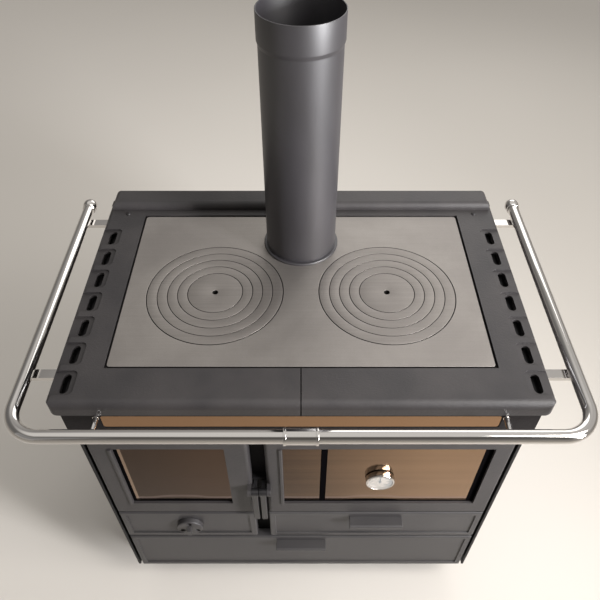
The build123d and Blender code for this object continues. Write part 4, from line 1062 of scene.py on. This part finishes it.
def makeRack():
    # a bent rim with bars across it, from front to back
    low, middle, high = span("oven_rack")
    wire, bar, pitch = rackLook["wire"], rackLook["bar"], rackLook["pitch"]
    x0, x1, y0, y1 = low.x + wire, high.x - wire, low.y + wire, high.y - wire
    z = middle.z
    border = [(x0, y0, z), (x1, y0, z), (x1, y1, z), (x0, y1, z)]
    values = {"Radius": wire, "Bend": rackLook["corner"], "Sides": rackLook["wireSides"],
              "Bend Steps": rackLook["cornerSteps"]}
    standIn(tube.grow("oven_rack_rim", border, aroundFour, wirePlate, values), "oven_rack")
    count = int((high.x - low.x - 4 * wire) // pitch)
    points = []
    for number in range(count):
        x = middle.x + (number - (count - 1) / 2) * pitch
        points += [(x, y0, z + wire - bar), (x, y1, z + wire - bar)]
    edges = [(2 * number, 2 * number + 1) for number in range(count)]
    values = {"Radius": bar, "Bend": 0.0, "Sides": rackLook["barSides"], "Bend Steps": 1}
    standIn(tube.grow("oven_rack_bars", points, edges, wirePlate, values), "oven_rack")


makeRack()
print("oven rack bent")


# floor, light and camera
stageLook = {"floor": tone(212, 207, 200), "floorShade": tone(206, 201, 194), "bounce": tone(118, 110, 102),
             "cloud": 0.8, "rough": 0.75, "size": 160.0}


def makeFloor():
    # pale to the camera and in reflections, mid-toned in the light that it throws back
    finish = Finish("pale floor")
    cloud = finish.noise(stageLook["cloud"], 2, 0.5)
    ray = finish.node("ShaderNodeLightPath", output="Is Camera Ray")
    seen = finish.maths("MAXIMUM", ray, ray.other("Is Glossy Ray"))
    seen = finish.maths("MAXIMUM", seen, ray.other("Is Transmission Ray"))
    pale = finish.mix(cloud, stageLook["floorShade"], stageLook["floor"])
    material = finish.surface(Base_Color=finish.mix(seen, stageLook["bounce"], pale), Roughness=stageLook["rough"])
    half = stageLook["size"] / 2
    mesh = bpy.data.meshes.new("floor")
    mesh.from_pydata([(-half, -half, 0), (half, -half, 0), (half, half, 0), (-half, half, 0)], [], [(0, 1, 2, 3)])
    mesh.materials.append(material)
    linked("floor", mesh)


lampLook = {
    "key": {"place": (1.5, -0.85, 2.3), "aim": (0, 0.1, 0.9), "size": (1.1, 1.1), "power": 52, "spread": 180,
            "colour": (1.0, 0.97, 0.94)},
    "strip": {"place": (1.9, -1.3, 1.3), "aim": (0, 0.15, 0.95), "size": (0.45, 1.1), "power": 25, "spread": 70,
              "colour": (0.98, 0.98, 1.0)},
    "fill": {"place": (-2.4, -2.2, 1.9), "aim": (0, 0, 0.7), "size": (2.4, 2.4), "power": 3, "spread": 180,
             "colour": (0.97, 0.98, 1.0)},
    "back": {"place": (0.9, 2.6, 2.4), "aim": (0, 0, 0.8), "size": (2.0, 2.0), "power": 22, "spread": 180,
             "colour": (1.0, 0.99, 0.97)},
}


def makeLamps():
    for name, look in lampLook.items():
        light = bpy.data.lights.new(name, "AREA")
        light.shape = "RECTANGLE"
        light.size, light.size_y = look["size"]
        light.energy = look["power"]
        light.spread = math.radians(look["spread"])
        light.color = look["colour"]
        lamp = linked(name, light)
        lamp.location = look["place"]
        direction = Vector(look["aim"]) - Vector(look["place"])
        lamp.rotation_euler = direction.to_track_quat("-Z", "Y").to_euler()
        lamp.visible_camera = False


worldLook = {"horizon": tone(150, 146, 140), "dark": tone(112, 110, 108), "bright": tone(204, 201, 197),
             "front": tone(100, 97, 94), "overhead": tone(234, 231, 227), "bandTop": (0.0, 0.42),
             "spread": (-0.9, 0.35), "frontStart": (0.15, 0.6), "overheadStart": (0.72, 0.88)}


def makeWorld():
    # as grey as the far floor at eye height; above that a room that is dim in front, brightens to
    # the right and is lightest overhead
    world = bpy.data.worlds.new("studio")
    world.use_nodes = True
    shop = NodeShop(world.node_tree)
    world.node_tree.nodes.clear()
    way = shop.node("ShaderNodeTexCoord", output="Generated")
    along = shop.node("ShaderNodeSeparateXYZ", {}, {"Vector": way}, "X")
    upward = along.other("Z")
    room = shop.mix(shop.fade(along, *worldLook["spread"]), worldLook["dark"], worldLook["bright"])
    room = shop.mix(shop.fade(-1 * along.other("Y"), *worldLook["frontStart"]), room, worldLook["front"])
    room = shop.mix(shop.fade(upward, *worldLook["overheadStart"]), room, worldLook["overhead"])
    colour = shop.mix(shop.fade(upward, *worldLook["bandTop"]), worldLook["horizon"], room)
    sky = shop.node("ShaderNodeBackground", {}, {"Color": colour, "Strength": 1.0})
    shop.node("ShaderNodeOutputWorld", {}, {"Surface": sky})
    bpy.context.scene.world = world


# the photograph's camera: solved from the hob plate's corners and the ring circles
cameraLook = {"place": (0.0, -0.8716, 1.750), "tilt": 43.8, "lens": 36.96, "sensor": 36.0, "shift": -1 / 600,
              "nearest": 0.02}


def makeCamera():
    eye = bpy.data.cameras.new("camera")
    eye.sensor_fit = "HORIZONTAL"
    eye.sensor_width = cameraLook["sensor"]
    eye.lens = cameraLook["lens"]
    eye.shift_x = cameraLook["shift"]
    eye.clip_start = cameraLook["nearest"]
    camera = linked("camera", eye)
    camera.location = cameraLook["place"]
    camera.rotation_euler = (math.radians(cameraLook["tilt"]), 0, 0)
    bpy.context.scene.camera = camera


makeFloor()
makeLamps()
makeWorld()
makeCamera()
bpy.context.scene.view_settings.view_transform = "Standard"
print("stage set")
